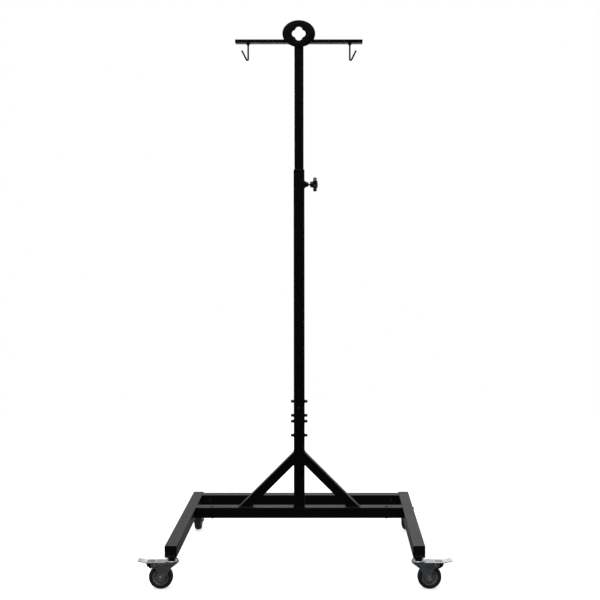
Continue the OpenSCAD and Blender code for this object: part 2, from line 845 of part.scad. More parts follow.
left_leg();
right_leg();
leg_spigots();
leg_end_plugs();
leg_inserts();
front_crossbar();
rear_crossbar();
bar_bolts();
bar_nuts();
left_brace();
right_brace();
lower_post();
splice_sleeve();
upper_post();
splice_screws();
splice_washers();
post_lock_screw();
clamp_boss();
post_bush();
clamp_slug();
clamp_screw();
clamp_knob();
mast_tube();
mast_foot_plug();
mast_top_cap();
left_arm();
right_arm();
head_plate();
left_hook();
right_hook();
hook_nuts();
caster_stems();
stem_nuts();
swivel_caps();
swivel_balls();
front_left_fork();
front_right_fork();
rear_left_fork();
rear_right_fork();
front_left_axle();
front_right_axle();
rear_left_axle();
rear_right_axle();
front_left_rim();
front_right_rim();
rear_left_rim();
rear_right_rim();
front_left_tyre();
front_right_tyre();
rear_left_tyre();
rear_right_tyre();
left_pedal();
right_pedal();
left_brake_shoe();
right_brake_shoe();
left_pedal_pin();
right_pedal_pin();
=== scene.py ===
"""Mobile infusion stand: the detailed pieces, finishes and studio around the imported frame."""

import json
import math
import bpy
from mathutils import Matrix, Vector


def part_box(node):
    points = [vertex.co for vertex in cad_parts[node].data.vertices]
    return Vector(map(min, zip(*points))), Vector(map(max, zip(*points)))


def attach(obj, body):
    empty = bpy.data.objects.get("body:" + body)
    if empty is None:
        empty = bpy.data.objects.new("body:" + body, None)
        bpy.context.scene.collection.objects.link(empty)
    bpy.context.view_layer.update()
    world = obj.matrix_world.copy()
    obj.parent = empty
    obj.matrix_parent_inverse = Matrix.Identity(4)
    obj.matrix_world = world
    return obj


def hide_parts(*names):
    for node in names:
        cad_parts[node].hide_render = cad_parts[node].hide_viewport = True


bl_info = {
    "name": "Mobile Infusion Stand",
    "version": (1, 0, 0),
    "blender": (4, 5, 0),
    "location": "View3D > Sidebar > Stand",
    "description": "Builds the fittings, casters, welds and finishes of a wheeled infusion stand",
    "category": "Add Mesh",
}

import bmesh
import bpy
from bpy.props import FloatProperty, FloatVectorProperty, IntProperty, PointerProperty
from mathutils import Matrix, Vector

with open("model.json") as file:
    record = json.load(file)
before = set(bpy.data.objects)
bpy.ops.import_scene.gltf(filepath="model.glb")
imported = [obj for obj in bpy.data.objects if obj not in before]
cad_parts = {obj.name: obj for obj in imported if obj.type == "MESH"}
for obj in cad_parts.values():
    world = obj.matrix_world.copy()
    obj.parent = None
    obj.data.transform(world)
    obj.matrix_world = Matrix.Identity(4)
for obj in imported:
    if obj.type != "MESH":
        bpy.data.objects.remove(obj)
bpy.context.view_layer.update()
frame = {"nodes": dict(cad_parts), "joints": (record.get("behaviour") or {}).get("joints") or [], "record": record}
NODES = frame["nodes"]
JOINTS = {joint["name"]: joint for joint in frame["joints"]}
SLOTS = {part["node"]: part["material_slot"] for part in frame["record"]["subparts"]}

MM = 0.001
SIDES = (-1, 1)
HANDS = ((-1, "left"), (1, "right"))
CORNERS = ("front_left", "front_right", "rear_left", "rear_right")
TURN_X = Matrix.Rotation(math.radians(90), 4, "Y")      # lays a shape's +Z along +X
TURN_FRONT = Matrix.Rotation(math.radians(90), 4, "X")  # lays a shape's +Z along -Y
TURN_BACK = Matrix.Rotation(math.radians(-90), 4, "X")  # lays a shape's +Z along +Y
FLIP = Matrix.Rotation(math.radians(180), 4, "X")       # turns a shape upside down


# ---- Places taken from the frame ----

def low(node):
    """The corner of a node's box with the least x, y and z."""
    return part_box(node)[0]


def high(node):
    """The corner of a node's box with the greatest x, y and z."""
    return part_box(node)[1]


def middle(node):
    return (low(node) + high(node)) / 2


def span(node):
    return high(node) - low(node)


POST = middle("lower_post")
POST_W = span("lower_post").x
POST_FRONT = low("lower_post").y
SPLIT_Z = high("lower_post").z
POST_TOP = high("upper_post").z
BAR_TOP = high("front_crossbar").z
LEG_Z = low("left_leg").z
MAST_W = span("mast_tube").x
MAST_TOP = high("mast_tube").z
CLAMP_Z = JOINTS["clamp_knob_turn"]["pos_m"][2]


def caster(corner):
    """The caster's own frame, with +X from the stem to the wheel, and its trail and axle height."""
    stem = Vector(JOINTS[corner + "_swivel"]["pos_m"])
    axle = Vector(JOINTS[corner + "_roll"]["pos_m"])
    turn = math.atan2(axle.y - stem.y, axle.x - stem.x)
    place = Matrix.Translation((stem.x, stem.y, 0)) @ Matrix.Rotation(turn, 4, "Z")
    return place, (axle - stem).xy.length, axle.z


def corner_label(corner):
    """The first words of the names of a corner's pieces."""
    return corner.capitalize().replace("_", " ")


CROWN_Z = JOINTS["front_left_swivel"]["pos_m"][2]
FORK_W = span("front_left_fork").y
WHEEL_R = span("front_left_tyre").z / 2
WHEEL_W = span("front_left_tyre").y
RIM_R = span("front_left_rim").z / 2
HUB_W = span("front_left_rim").y
BOSS_W = span("clamp_boss").y

TUBE_R = 2.2 * MM       # outside corner of the square tubes
SCREW_R = 3 * MM        # M6 shanks
AXLE_R = 4 * MM         # M8 axle bolts
PIN_OUT = 18 * MM       # from the axle's line out to the pedal's pin
PIN_DROP = 6.5 * MM     # from the crown down to the pedal's pin
FIT = 0.02 * MM         # play or overlap that keeps two faces from lying in one plane
PRESS = math.radians(9)   # turn of a pedal until its block meets the tyre
SHARP = math.radians(40)  # smallest angle of an edge that is rounded

# Largest angle between two faces, in degrees, that still shades as one surface
CREASE = 35
TYRE_CREASE = 40
ROUND_CREASE = 50
WELD_CREASE = 60


# ---- Settings ----

def length_setting(name, description, default, least, most):
    """A length setting, from values in millimetres."""
    return FloatProperty(
        name=name, description=description, default=default * MM,
        min=least * MM, max=most * MM, precision=5, unit="LENGTH")


def colour_setting(name, description, default):
    """A colour setting, in linear red, green and blue."""
    return FloatVectorProperty(
        name=name, description=description, default=default, subtype="COLOR", min=0, max=1)


def power_setting(name, description, default):
    """A lamp's power setting, in watts."""
    return FloatProperty(
        name=name, description=description, default=default, min=0, max=1000, unit="POWER")


class StandSizes(bpy.types.PropertyGroup):
    """Sizes of the fittings, welds and hooks."""
    edge: length_setting("Edge rounding", "Rounding of cut plate and bar edges", 0.6, 0.1, 1.2)
    weld: length_setting("Weld bead", "Radius of the weld beads", 2.6, 1, 4)
    ripple: length_setting("Weld ripple", "Distance from one ripple of a weld to the next", 2.2, 1, 5)
    sheet: length_setting("Sheet", "Thickness of the pressed caster sheet", 2.5, 1.5, 4)
    hook_wire: length_setting("Hook wire", "Radius of the hook wire", 3, 2, 4)
    hook_bend: length_setting("Hook bend", "Centreline radius of the hook's bend", 3.3, 3.1, 9)
    hook_flare: FloatProperty(
        name="Hook flare", description="Lean of the hook's tip from upright",
        default=math.radians(26.5), min=0.1, max=0.8, unit="ROTATION")
    eye_lobe: length_setting("Eye lobe", "Radius of each lobe of the head plate's hole", 12.8, 8, 16)
    eye_reach: length_setting(
        "Eye reach", "Distance of each lobe's centre from the middle of the hole", 11.4, 8, 14)
    knob_lobes: IntProperty(
        name="Knob lobes", description="Number of lobes on the star knob",
        default=6, min=5, max=8)
    knob_waist: length_setting("Knob waist", "Depth of the hollows between the knob's lobes", 4.6, 2, 7)
    screw_pitch: length_setting("Screw pitch", "Pitch of the clamp screw's thread", 1.25, 0.8, 2)
    rim_ribs: IntProperty(
        name="Rim ribs", description="Number of ribs on each face of a wheel's rim",
        default=8, min=3, max=12)


class StandColours(bpy.types.PropertyGroup):
    """Base colours of the finishes."""
    coat: colour_setting("Powder coat", "Colour of the black powder coat", (0.0020, 0.0020, 0.0022))
    plastic: colour_setting("Plastic", "Colour of the moulded black plastic", (0.0030, 0.0030, 0.0033))
    nylon: colour_setting("Nylon", "Colour of the nylon bush and plug", (0.010, 0.010, 0.011))
    dark_zinc: colour_setting(
        "Black zinc", "Colour of the black zinc on the screws and nuts", (0.009, 0.009, 0.0098))
    zinc: colour_setting(
        "Bright zinc", "Colour of the bright zinc on pedals and axles", (0.80, 0.81, 0.83))
    fork: colour_setting("Fork zinc", "Colour of the forks' duller zinc", (0.56, 0.59, 0.62))
    steel: colour_setting("Plain steel", "Colour of the bare steel inside the tubes", (0.30, 0.30, 0.31))
    rim: colour_setting("Rim", "Colour of the moulded rims", (0.31, 0.34, 0.38))
    tyre: colour_setting("Tyre", "Colour of the tyre rubber", (0.034, 0.034, 0.035))
    brass: colour_setting("Brass", "Colour of the clamp slug", (0.60, 0.42, 0.16))
    floor: colour_setting("Floor", "Colour of the studio floor", (0.86, 0.86, 0.86))


class StandStage(bpy.types.PropertyGroup):
    """The camera and the studio light."""
    eye: FloatVectorProperty(
        name="Camera place", description="Where the camera stands",
        default=(0.1059, -3.2234, 1.0913), subtype="TRANSLATION")
    pitch: FloatProperty(
        name="Camera pitch", description="How far the camera looks down",
        default=0.0255, min=-0.5, max=0.5, unit="ROTATION")
    lens: FloatProperty(
        name="Lens", description="Focal length on a 36 mm sensor",
        default=56.06, min=20, max=200, unit="CAMERA")
    shift_x: FloatProperty(
        name="Shift across", description="Sideways shift of the lens",
        default=-0.0481, min=-0.2, max=0.2)
    shift_y: FloatProperty(
        name="Shift up", description="Upward shift of the lens",
        default=-0.0583, min=-0.2, max=0.2)
    key: power_setting("Key light", "Power of the large light overhead", 40)
    rim: power_setting("Back light", "Power of the light behind the stand", 16)
    fill: power_setting("Fill light", "Power of each light at the sides", 4)
    room: FloatProperty(
        name="Room light", description="Brightness of the pale room behind the stand",
        default=0.62, min=0, max=4)
    glow: FloatProperty(
        name="Floor glow", description="Light that the floor adds to keep it pale",
        default=0.62, min=0, max=2)


# ---- Shapes ----

def arc(centre, r, start, end, steps):
    """Points on an arc, from one angle in degrees to the other, both ends included."""
    return [
        (centre[0] + r * math.cos(math.radians(start + (end - start) * i / steps)),
         centre[1] + r * math.sin(math.radians(start + (end - start) * i / steps)))
        for i in range(steps + 1)
    ]


def ring(r, steps=48, centre=(0, 0)):
    """Points round a circle."""
    return arc(centre, r, 0, 360, steps)[:-1]


def round_corners(corners, steps=5):
    """An outline from (x, y, r) corners, each with its corner turned into an arc of radius r."""
    outline = []
    for i, (x, y, r) in enumerate(corners):
        here = Vector((x, y))
        back = (Vector(corners[i - 1][:2]) - here).normalized()
        ahead = (Vector(corners[(i + 1) % len(corners)][:2]) - here).normalized()
        half = back.angle(ahead) / 2
        centre = here + (back + ahead).normalized() * (r / math.sin(half))
        start = here + back * (r / math.tan(half)) - centre
        end = here + ahead * (r / math.tan(half)) - centre
        turn = start.angle_signed(end)
        for k in range(steps + 1):
            outline.append(centre + Matrix.Rotation(-turn * k / steps, 2) @ start)
    return outline


def rectangle(x0, x1, y0, y1, r, steps=5):
    """A rectangle's outline with its corners rounded to radius r."""
    return round_corners([(x0, y0, r), (x1, y0, r), (x1, y1, r), (x0, y1, r)], steps)


def loop(bm, points):
    """A closed chain of vertices and edges through points."""
    verts = [bm.verts.new(Vector(p).to_3d()) for p in points]
    return [bm.edges.new((verts[i - 1], verts[i])) for i in range(len(verts))]


def raised(points, z):
    """The points of a flat outline, lifted to height z."""
    return [(*p, z) for p in points]


def bevel_sharp(bm, size, segments):
    """Rounds the sharp edges of bm."""
    sharp = [e for e in bm.edges if e.is_manifold and e.calc_face_angle() > SHARP]
    bmesh.ops.bevel(
        bm, geom=sharp, offset=size, offset_type="OFFSET", affect="EDGES",
        segments=segments, profile=0.5, material=-1, clamp_overlap=True)


def plate(outlines, thickness, bevel=0.0, segments=2):
    """A flat plate on z = 0. The first outline is its edge and the others are its holes."""
    bm = bmesh.new()
    edges = [edge for outline in outlines for edge in loop(bm, outline)]
    bmesh.ops.triangle_fill(bm, use_beauty=True, use_dissolve=False, edges=edges)
    made = bmesh.ops.extrude_face_region(bm, geom=bm.faces[:], use_keep_orig=True)
    top = [v for v in made["geom"] if isinstance(v, bmesh.types.BMVert)]
    bmesh.ops.translate(bm, vec=(0, 0, thickness), verts=top)
    bmesh.ops.recalc_face_normals(bm, faces=bm.faces)
    if bevel:
        bevel_sharp(bm, bevel, segments)
    return bm


def block(lo, hi, bevel):
    """A box from corner lo to corner hi, with its edges rounded."""
    lo, hi = Vector(lo), Vector(hi)
    bm = bmesh.new()
    size = Matrix.Diagonal((hi - lo).to_4d())
    size[3][3] = 1
    bmesh.ops.create_cube(bm, size=1, matrix=Matrix.Translation((lo + hi) / 2) @ size)
    bevel_sharp(bm, bevel, 2)
    return bm


def lathe(profile, steps=64):
    """A turned solid around +Z. The profile is (r, z) points, and it closes on itself."""
    bm = bmesh.new()
    edges = loop(bm, [(r, 0, z) for r, z in profile])
    verts = {v for e in edges for v in e.verts}
    bmesh.ops.spin(
        bm, geom=list(verts) + edges, cent=(0, 0, 0), axis=(0, 0, 1),
        angle=math.tau, steps=steps, use_merge=True)
    bmesh.ops.remove_doubles(bm, verts=bm.verts, dist=1e-6)
    bare = [e for e in bm.edges if e.is_wire]
    bmesh.ops.delete(bm, geom=bare, context="EDGES")
    bmesh.ops.recalc_face_normals(bm, faces=bm.faces)
    return bm


def loft(loops, around=False):
    """A skin over outlines with equal counts of points, filled at its ends or joined around."""
    bm = bmesh.new()
    rows = [[bm.verts.new(p) for p in points] for points in loops]
    for a, b in zip(rows, rows[1:] + (rows[:1] if around else [])):
        for i, _ in enumerate(a):
            bm.faces.new((a[i - 1], a[i], b[i], b[i - 1]))
    if not around:
        bm.faces.new(rows[0])
        bm.faces.new(rows[-1])
    bmesh.ops.recalc_face_normals(bm, faces=bm.faces)
    return bm


def turned(corners, steps=64):
    """A turned solid around +Z from the (r, z, rounding) corners of its profile."""
    return lathe([tuple(p) for p in round_corners(corners, 4)], steps)


def rod(r, z0, z1, chamfer=0.3 * MM):
    """A round bar around +Z with chamfered ends."""
    return lathe([(0, z0), (r - chamfer, z0), (r, z0 + chamfer),
                  (r, z1 - chamfer), (r - chamfer, z1), (0, z1)], 48)


def dome(r, height):
    """A spherical cap with its flat side on z = 0."""
    ball = (r * r + height * height) / (2 * height)
    start = math.degrees(math.asin((ball - height) / ball))
    return lathe(arc((0, height - ball), ball, start, 90, 12) + [(0, 0)], 48)


def hexagon(flats, steps=8):
    """Points round a hexagon, with steps of them on each side."""
    points = []
    for i in range(6 * steps):
        angle = math.tau * i / (6 * steps)
        off = (angle + math.pi / 6) % (math.pi / 3) - math.pi / 6
        r = flats / 2 / math.cos(off)
        points.append((r * math.cos(angle), r * math.sin(angle)))
    return points


def hex_nut(flats, height, bore, steps=8):
    """A nut with both faces turned to a cone of 30 degrees at the corners, standing on z = 0."""
    slope = math.tan(math.radians(30))
    count = 6 * steps
    shape = [Vector(p) for p in hexagon(flats, steps)]
    face = flats / 2 * 0.95
    cut = [(p.length - face) * slope for p in shape]
    inner, outer = ring(bore, count), ring(face, count)
    lip = 0.06 * flats
    mouth = ring(bore + lip, count)
    loops = [
        raised(inner, lip), raised(mouth, 0), raised(outer, 0),
        [(*p, c) for p, c in zip(shape, cut)],
        [(*p, height - c) for p, c in zip(shape, cut)],
        raised(outer, height), raised(mouth, height), raised(inner, height - lip),
    ]
    return loft(loops, True)


def sweep(profile, steps, angle, rise):
    """A profile turned round +Z and lifted by rise at each step, with both its ends filled."""
    bm = bmesh.new()
    edges = loop(bm, profile)
    verts = {v for e in edges for v in e.verts}
    bmesh.ops.spin(
        bm, geom=list(verts) + edges, cent=(0, 0, 0), axis=(0, 0, 1),
        dvec=(0, 0, rise), angle=angle, steps=steps)
    bmesh.ops.holes_fill(bm, edges=[e for e in bm.edges if e.is_boundary], sides=0)
    bmesh.ops.recalc_face_normals(bm, faces=bm.faces)
    return bm


def thread(r, depth, pitch, run):
    """The helical ridge of a screw thread around +Z, from z = 0 to z = run."""
    per_turn = 32
    ridge = [(r - depth, 0, 0), (r, 0, pitch * 0.42), (r, 0, pitch * 0.58), (r - depth, 0, pitch)]
    turns = run / pitch - 1
    return sweep(ridge, round(turns * per_turn), math.tau * turns, pitch / per_turn)


def wire(points, radii, closed=False, sides=4):
    """A round wire through points, from a curve with a radius at each of them."""
    curve = bpy.data.curves.new("wire", "CURVE")
    curve.dimensions = "3D"
    curve.bevel_depth = 1
    curve.bevel_resolution = sides
    curve.use_fill_caps = not closed
    spline = curve.splines.new("POLY")
    spline.points.add(len(points) - 1)
    spline.use_cyclic_u = closed
    for target, place, r in zip(spline.points, points, radii):
        target.co = (*place, 1)
        target.radius = r
    holder = bpy.data.objects.new("wire", curve)
    bpy.context.scene.collection.objects.link(holder)
    mesh = bpy.data.meshes.new_from_object(holder.evaluated_get(bpy.context.evaluated_depsgraph_get()))
    bm = bmesh.new()
    bm.from_mesh(mesh)
    bmesh.ops.remove_doubles(bm, verts=bm.verts, dist=1e-7)
    bmesh.ops.recalc_face_normals(bm, faces=bm.faces)
    bpy.data.objects.remove(holder)
    bpy.data.meshes.remove(mesh)
    bpy.data.curves.remove(curve)
    return bm


def bead(path, sizes, closed=True):
    """A rippled weld bead along straight runs between the points of path."""
    per_ripple = 5
    step = sizes.ripple / per_ripple
    corners = [Vector(p) for p in path]
    ends = corners[1:] + corners[:1] if closed else corners[1:]
    points = []
    for a, b in zip(corners, ends):
        count = max(1, round((b - a).length / step))
        points += [a.lerp(b, i / count) for i in range(count)]
    if not closed:
        points.append(corners[-1])
    radii = []
    for i, _ in enumerate(points):
        wave = (i % per_ripple) / per_ripple
        radii.append(sizes.weld * (0.86 + 0.16 * math.sin(math.pi * wave)))
    if not closed:
        radii[0] = radii[-1] = sizes.weld * 0.5
    return wire(points, radii, closed, 2)


def frame_path(w, d, to_world):
    """The outline of a tube w by d, carried into place, for the weld round it."""
    return [to_world @ Vector((*p, 0)) for p in rectangle(-w / 2, w / 2, -d / 2, d / 2, TUBE_R, 4)]


# ---- Putting pieces together ----

def add(bm, piece, place=Matrix()):
    """Adds a finished shape to bm, at place."""
    mesh = bpy.data.meshes.new("shape")
    piece.to_mesh(mesh)
    piece.free()
    mesh.transform(place)
    bm.from_mesh(mesh)
    bpy.data.meshes.remove(mesh)


def join(*shapes):
    """One bmesh of several (shape, place) pairs."""
    bm = bmesh.new()
    for shape, place in shapes:
        add(bm, shape, place)
    return bm


def at(x=0.0, y=0.0, z=0.0):
    """The place that is moved by x, y and z."""
    return Matrix.Translation((x, y, z))


def finish_piece(name, bm, slot, body, replaces=(), crease=CREASE):
    """Makes the object of a new piece, with its finish, its body and the nodes that it stands for."""
    bmesh.ops.recalc_face_normals(bm, faces=bm.faces)
    name = name.replace(" ", "_")
    mesh = bpy.data.meshes.new(name)
    bm.to_mesh(mesh)
    bm.free()
    mesh.shade_smooth()
    mesh.set_sharp_from_angle(angle=math.radians(crease))
    mesh.materials.append(finish(slot))
    piece = bpy.data.objects.new(name, mesh)
    bpy.context.scene.collection.objects.link(piece)
    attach(piece, body)
    if replaces:
        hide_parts(*replaces)
    return piece


# ---- Finishes ----

class Nodes:
    """A material's node tree, with short calls for the nodes that every finish uses."""

    def __init__(self, name):
        self.material = bpy.data.materials.new(name)
        self.material.use_nodes = True
        self.tree = self.material.node_tree
        self.shader = self.tree.nodes["Principled BSDF"]
        self.place = self.add("ShaderNodeTexCoord").outputs["Object"]

    def add(self, kind, **settings):
        node = self.tree.nodes.new(kind)
        for key, value in settings.items():
            setattr(node, key, value)
        return node

    def link(self, output, target):
        self.tree.links.new(output, target)

    def set(self, **values):
        for key, value in values.items():
            self.shader.inputs[key.replace("_", " ")].default_value = value

    def noise(self, scale, detail=3.0, rough=0.5, stretch=(1, 1, 1)):
        node = self.add("ShaderNodeTexNoise")
        node.inputs["Scale"].default_value = scale
        node.inputs["Detail"].default_value = detail
        node.inputs["Roughness"].default_value = rough
        if stretch == (1, 1, 1):
            self.link(self.place, node.inputs["Vector"])
        else:
            mapping = self.add("ShaderNodeMapping")
            mapping.inputs["Scale"].default_value = stretch
            self.link(self.place, mapping.inputs["Vector"])
            self.link(mapping.outputs["Vector"], node.inputs["Vector"])
        return node.outputs["Fac"]

    def cells(self, scale):
        node = self.add("ShaderNodeTexVoronoi", feature="F1")
        node.inputs["Scale"].default_value = scale
        self.link(self.place, node.inputs["Vector"])
        return node.outputs["Distance"]

    def remap(self, value, low_in, high_in, low_out, high_out):
        node = self.add("ShaderNodeMapRange")
        for key, number in zip(("From Min", "From Max", "To Min", "To Max"),
                               (low_in, high_in, low_out, high_out)):
            node.inputs[key].default_value = number
        self.link(value, node.inputs["Value"])
        return node.outputs["Result"]

    def times(self, a, b):
        node = self.add("ShaderNodeMath", operation="MULTIPLY")
        self.link(a, node.inputs[0])
        self.link(b, node.inputs[1])
        return node.outputs[0]

    def upward(self):
        """1 on faces that look up, 0 on the others."""
        split = self.add("ShaderNodeSeparateXYZ")
        self.link(self.add("ShaderNodeNewGeometry").outputs["Normal"], split.inputs["Vector"])
        return self.remap(split.outputs["Z"], 0.35, 0.95, 0, 1)

    def blend(self, fac, a, b):
        """Colour a where fac is 0 and colour b where it is 1."""
        node = self.add("ShaderNodeMix", data_type="RGBA")
        self.link(fac, node.inputs["Factor"])
        for socket, tint in zip((node.inputs[6], node.inputs[7]), (a, b)):
            if hasattr(tint, "is_output"):
                self.link(tint, socket)
            else:
                socket.default_value = (*tint, 1)
        return node.outputs[2]

    def bump(self, height, strength, distance, under=None):
        node = self.add("ShaderNodeBump")
        node.inputs["Strength"].default_value = strength
        node.inputs["Distance"].default_value = distance
        self.link(height, node.inputs["Height"])
        if under is not None:
            self.link(under, node.inputs["Normal"])
        return node.outputs["Normal"]

    def done(self, colour=None, roughness=None, normal=None):
        for output, key in ((colour, "Base Color"), (roughness, "Roughness"), (normal, "Normal")):
            if output is not None:
                self.link(output, self.shader.inputs[key])
        return self.material


def lighter(colour, factor, plus=0.0):
    return tuple(min(1.0, c * factor + plus) for c in colour)


def powder_coat(colours):
    """Satin black powder coat: orange peel, fine grain, and what faces up made lighter, partly by a dusting and
    partly by painted light from above.
    """
    n = Nodes("Black powder coat")
    colour = tuple(colours.coat)
    grain = n.noise(2600, 2, 0.6)
    peel = n.noise(520, 1, 0.4)
    patches = n.noise(7, 4, 0.6)
    specks = n.remap(n.cells(900), 0.0, 0.16, 1, 0)
    shade = n.blend(n.remap(patches, 0.35, 0.7, 0, 1), colour, lighter(colour, 1.6))
    speckled = n.blend(n.times(specks, n.remap(n.noise(60, 2), 0.5, 0.75, 0, 0.5)),
                       shade, lighter(colour, 2, 0.016))
    # Faces that look up are lightened: partly a dusting, partly painted light from above
    dust_and_painted_top_light = n.times(n.upward(), n.remap(n.noise(38, 5, 0.65), 0.3, 0.8, 0.05, 0.3))
    dusted_and_top_lit = n.blend(dust_and_painted_top_light, speckled, (0.04, 0.04, 0.041))
    rough = n.remap(patches, 0.3, 0.75, 0.30, 0.42)
    normal = n.bump(peel, 0.35, 0.0009)
    n.set(Specular_IOR_Level=0.20)
    return n.done(dusted_and_top_lit, rough, n.bump(grain, 0.18, 0.0003, normal))


def moulded(name, colour, rough, spark=0.25, grain_scale=1800):
    """Moulded plastic: a fine spark-eroded grain, with scuffs that are lighter."""
    n = Nodes(name)
    grain = n.noise(grain_scale, 3, 0.6)
    scuff = n.remap(n.noise(55, 5, 0.7, (1, 1, 3)), 0.56, 0.72, 0, 0.5)
    shade = n.blend(scuff, colour, lighter(colour, 1.6, 0.012))
    roughness = n.remap(n.noise(24, 4), 0.3, 0.7, rough - 0.06, rough + 0.08)
    return n.done(shade, roughness, n.bump(grain, spark, 0.0004))


def plated(name, colour, rough, mottle=0.75, metal=1.0, brush=(1, 1, 1)):
    """Zinc-plated steel: soft mottling, fine drawing lines, and duller patches."""
    n = Nodes(name)
    patches = n.noise(46, 5, 0.62)
    lines = n.noise(700, 3, 0.5, brush)
    shade = n.blend(n.remap(patches, 0.32, 0.7, 0, 1), lighter(colour, mottle), colour)
    spots = n.remap(n.noise(210, 3, 0.7), 0.62, 0.78, 0, 0.55)
    spotted = n.blend(spots, shade, lighter(colour, 0.55))
    roughness = n.remap(n.noise(85, 4, 0.6), 0.3, 0.72, rough - 0.09, rough + 0.12)
    n.set(Metallic=metal)
    return n.done(spotted, roughness, n.bump(lines, 0.22, 0.0003))


def rubber(name, colour, rough):
    """Rubber: matt, with pale scuffs and pores."""
    n = Nodes(name)
    pores = n.cells(1500)
    scuff = n.remap(n.noise(120, 5, 0.7), 0.5, 0.72, 0, 0.6)
    shade = n.blend(scuff, colour, lighter(colour, 1.8, 0.018))
    roughness = n.remap(n.noise(60, 3), 0.3, 0.7, rough - 0.05, rough + 0.1)
    n.set(Specular_IOR_Level=0.35)
    return n.done(shade, roughness, n.bump(pores, 0.2, 0.0004))


def finish(slot):
    """The material of a slot, made the first time that it is asked for."""
    label = "Finish " + slot.replace("_", " ")
    if label in bpy.data.materials:
        return bpy.data.materials[label]
    colours = bpy.context.scene.stand_colours
    makers = {
        "black_powder_coat": lambda: powder_coat(colours),
        "black_plastic": lambda: moulded("plastic", tuple(colours.plastic), 0.34),
        "black_nylon": lambda: moulded("nylon", tuple(colours.nylon), 0.5, 0.15, 900),
        "black_zinc": lambda: plated("black zinc", tuple(colours.dark_zinc), 0.36, 0.6, 0.25),
        "bright_zinc": lambda: plated("bright zinc", tuple(colours.zinc), 0.27),
        "fork_zinc": lambda: plated("fork zinc", tuple(colours.fork), 0.30, 0.7, 1.0, (1, 1, 6)),
        "plain_steel": lambda: plated("plain steel", tuple(colours.steel), 0.42, 0.8),
        "rim_grey": lambda: moulded("rim", tuple(colours.rim), 0.38, 0.18, 1200),
        "tyre_rubber": lambda: rubber("tyre", tuple(colours.tyre), 0.6),
        "brake_rubber": lambda: rubber("brake rubber", lighter(tuple(colours.tyre), 0.35), 0.72),
        "slug_brass": lambda: plated("brass", tuple(colours.brass), 0.3, 0.8),
    }
    material = makers[slot]()
    material.name = label
    return material


# ---- Tubes and welds ----

class StandTubes(bpy.types.Operator):
    """Puts its finish on every part of the frame."""
    bl_idname = "stand.tubes"
    bl_label = "Tubes"

    def execute(self, context):
        for name, node in NODES.items():
            node.data.materials.clear()
            node.data.materials.append(finish(SLOTS[name]))
        return {"FINISHED"}


class StandWelds(bpy.types.Operator):
    """Lays the weld beads at the braces, the post's foot, the clamp boss and the head."""
    bl_idname = "stand.welds"
    bl_label = "Welds"

    def execute(self, context):
        sizes = context.scene.stand_sizes
        self.base(sizes)
        self.boss(sizes)
        self.head(sizes)
        return {"FINISHED"}

    def base(self, sizes):
        lo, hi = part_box("right_brace")
        slant = (hi.y - lo.y) * math.sqrt(2)
        for side, label in HANDS:
            foot_x = side * (hi.x - slant / 2)
            foot = frame_path(slant, hi.y - lo.y, at(foot_x, POST.y, BAR_TOP))
            top_z = hi.z - slant / 2
            top = frame_path(slant, hi.y - lo.y, at(side * lo.x, POST.y, top_z) @ TURN_X)
            bm = join((bead(foot, sizes), at()), (bead(top, sizes), at()))
            finish_piece(
                label.title() + " brace welds", bm, "black_powder_coat", "stand", crease=WELD_CREASE)
        half = POST_W / 2
        inset = 3 * MM
        runs = []
        for side in SIDES:
            ends = [(side * half, POST.y - half + inset, BAR_TOP),
                    (side * half, POST.y + half - inset, BAR_TOP)]
            runs.append((bead(ends, sizes, False), at()))
        finish_piece("Post foot welds", join(*runs), "black_powder_coat", "stand", crease=WELD_CREASE)

    def boss(self, sizes):
        r = BOSS_W / 2 - sizes.weld * 0.9
        place = at(POST_W / 2 + sizes.weld * 0.2, POST.y, CLAMP_Z) @ TURN_X
        circle = [place @ Vector((*p, 0)) for p in ring(r, 64)]
        finish_piece(
            "Clamp boss weld", bead(circle, sizes), "black_powder_coat", "stand", crease=WELD_CREASE)

    def head(self, sizes):
        half = MAST_W / 2
        arm_z, arm_top = low("right_arm").z, high("right_arm").z
        plate_back = high("head_plate").y
        centre_z = middle("head_plate").z
        wide, tall = span("head_plate").x / 2, span("head_plate").z / 2
        inset = 2 * MM
        runs = []
        for side in SIDES:
            x = side * half
            reach = side * wide * math.sqrt(1 - ((arm_top - centre_z) / tall) ** 2) * 0.96
            foot_z = centre_z - tall * math.sqrt(1 - (half / wide) ** 2) + inset
            runs += [
                [(x, POST.y - half + inset, arm_z), (x, POST.y + half - inset, arm_z)],
                [(x, POST.y - half + inset, MAST_TOP), (x, POST.y + half - inset, MAST_TOP)],
                [(x, POST.y + half, arm_z + inset / 2), (x, POST.y + half, MAST_TOP)],
                [(x, plate_back, foot_z), (x, plate_back, arm_z - inset)],
                [(x, plate_back, arm_top), (reach, plate_back, arm_top)],
            ]
        beads = [(bead(run, sizes, False), at()) for run in runs]
        finish_piece("Head welds", join(*beads), "black_powder_coat", "mast", crease=WELD_CREASE)


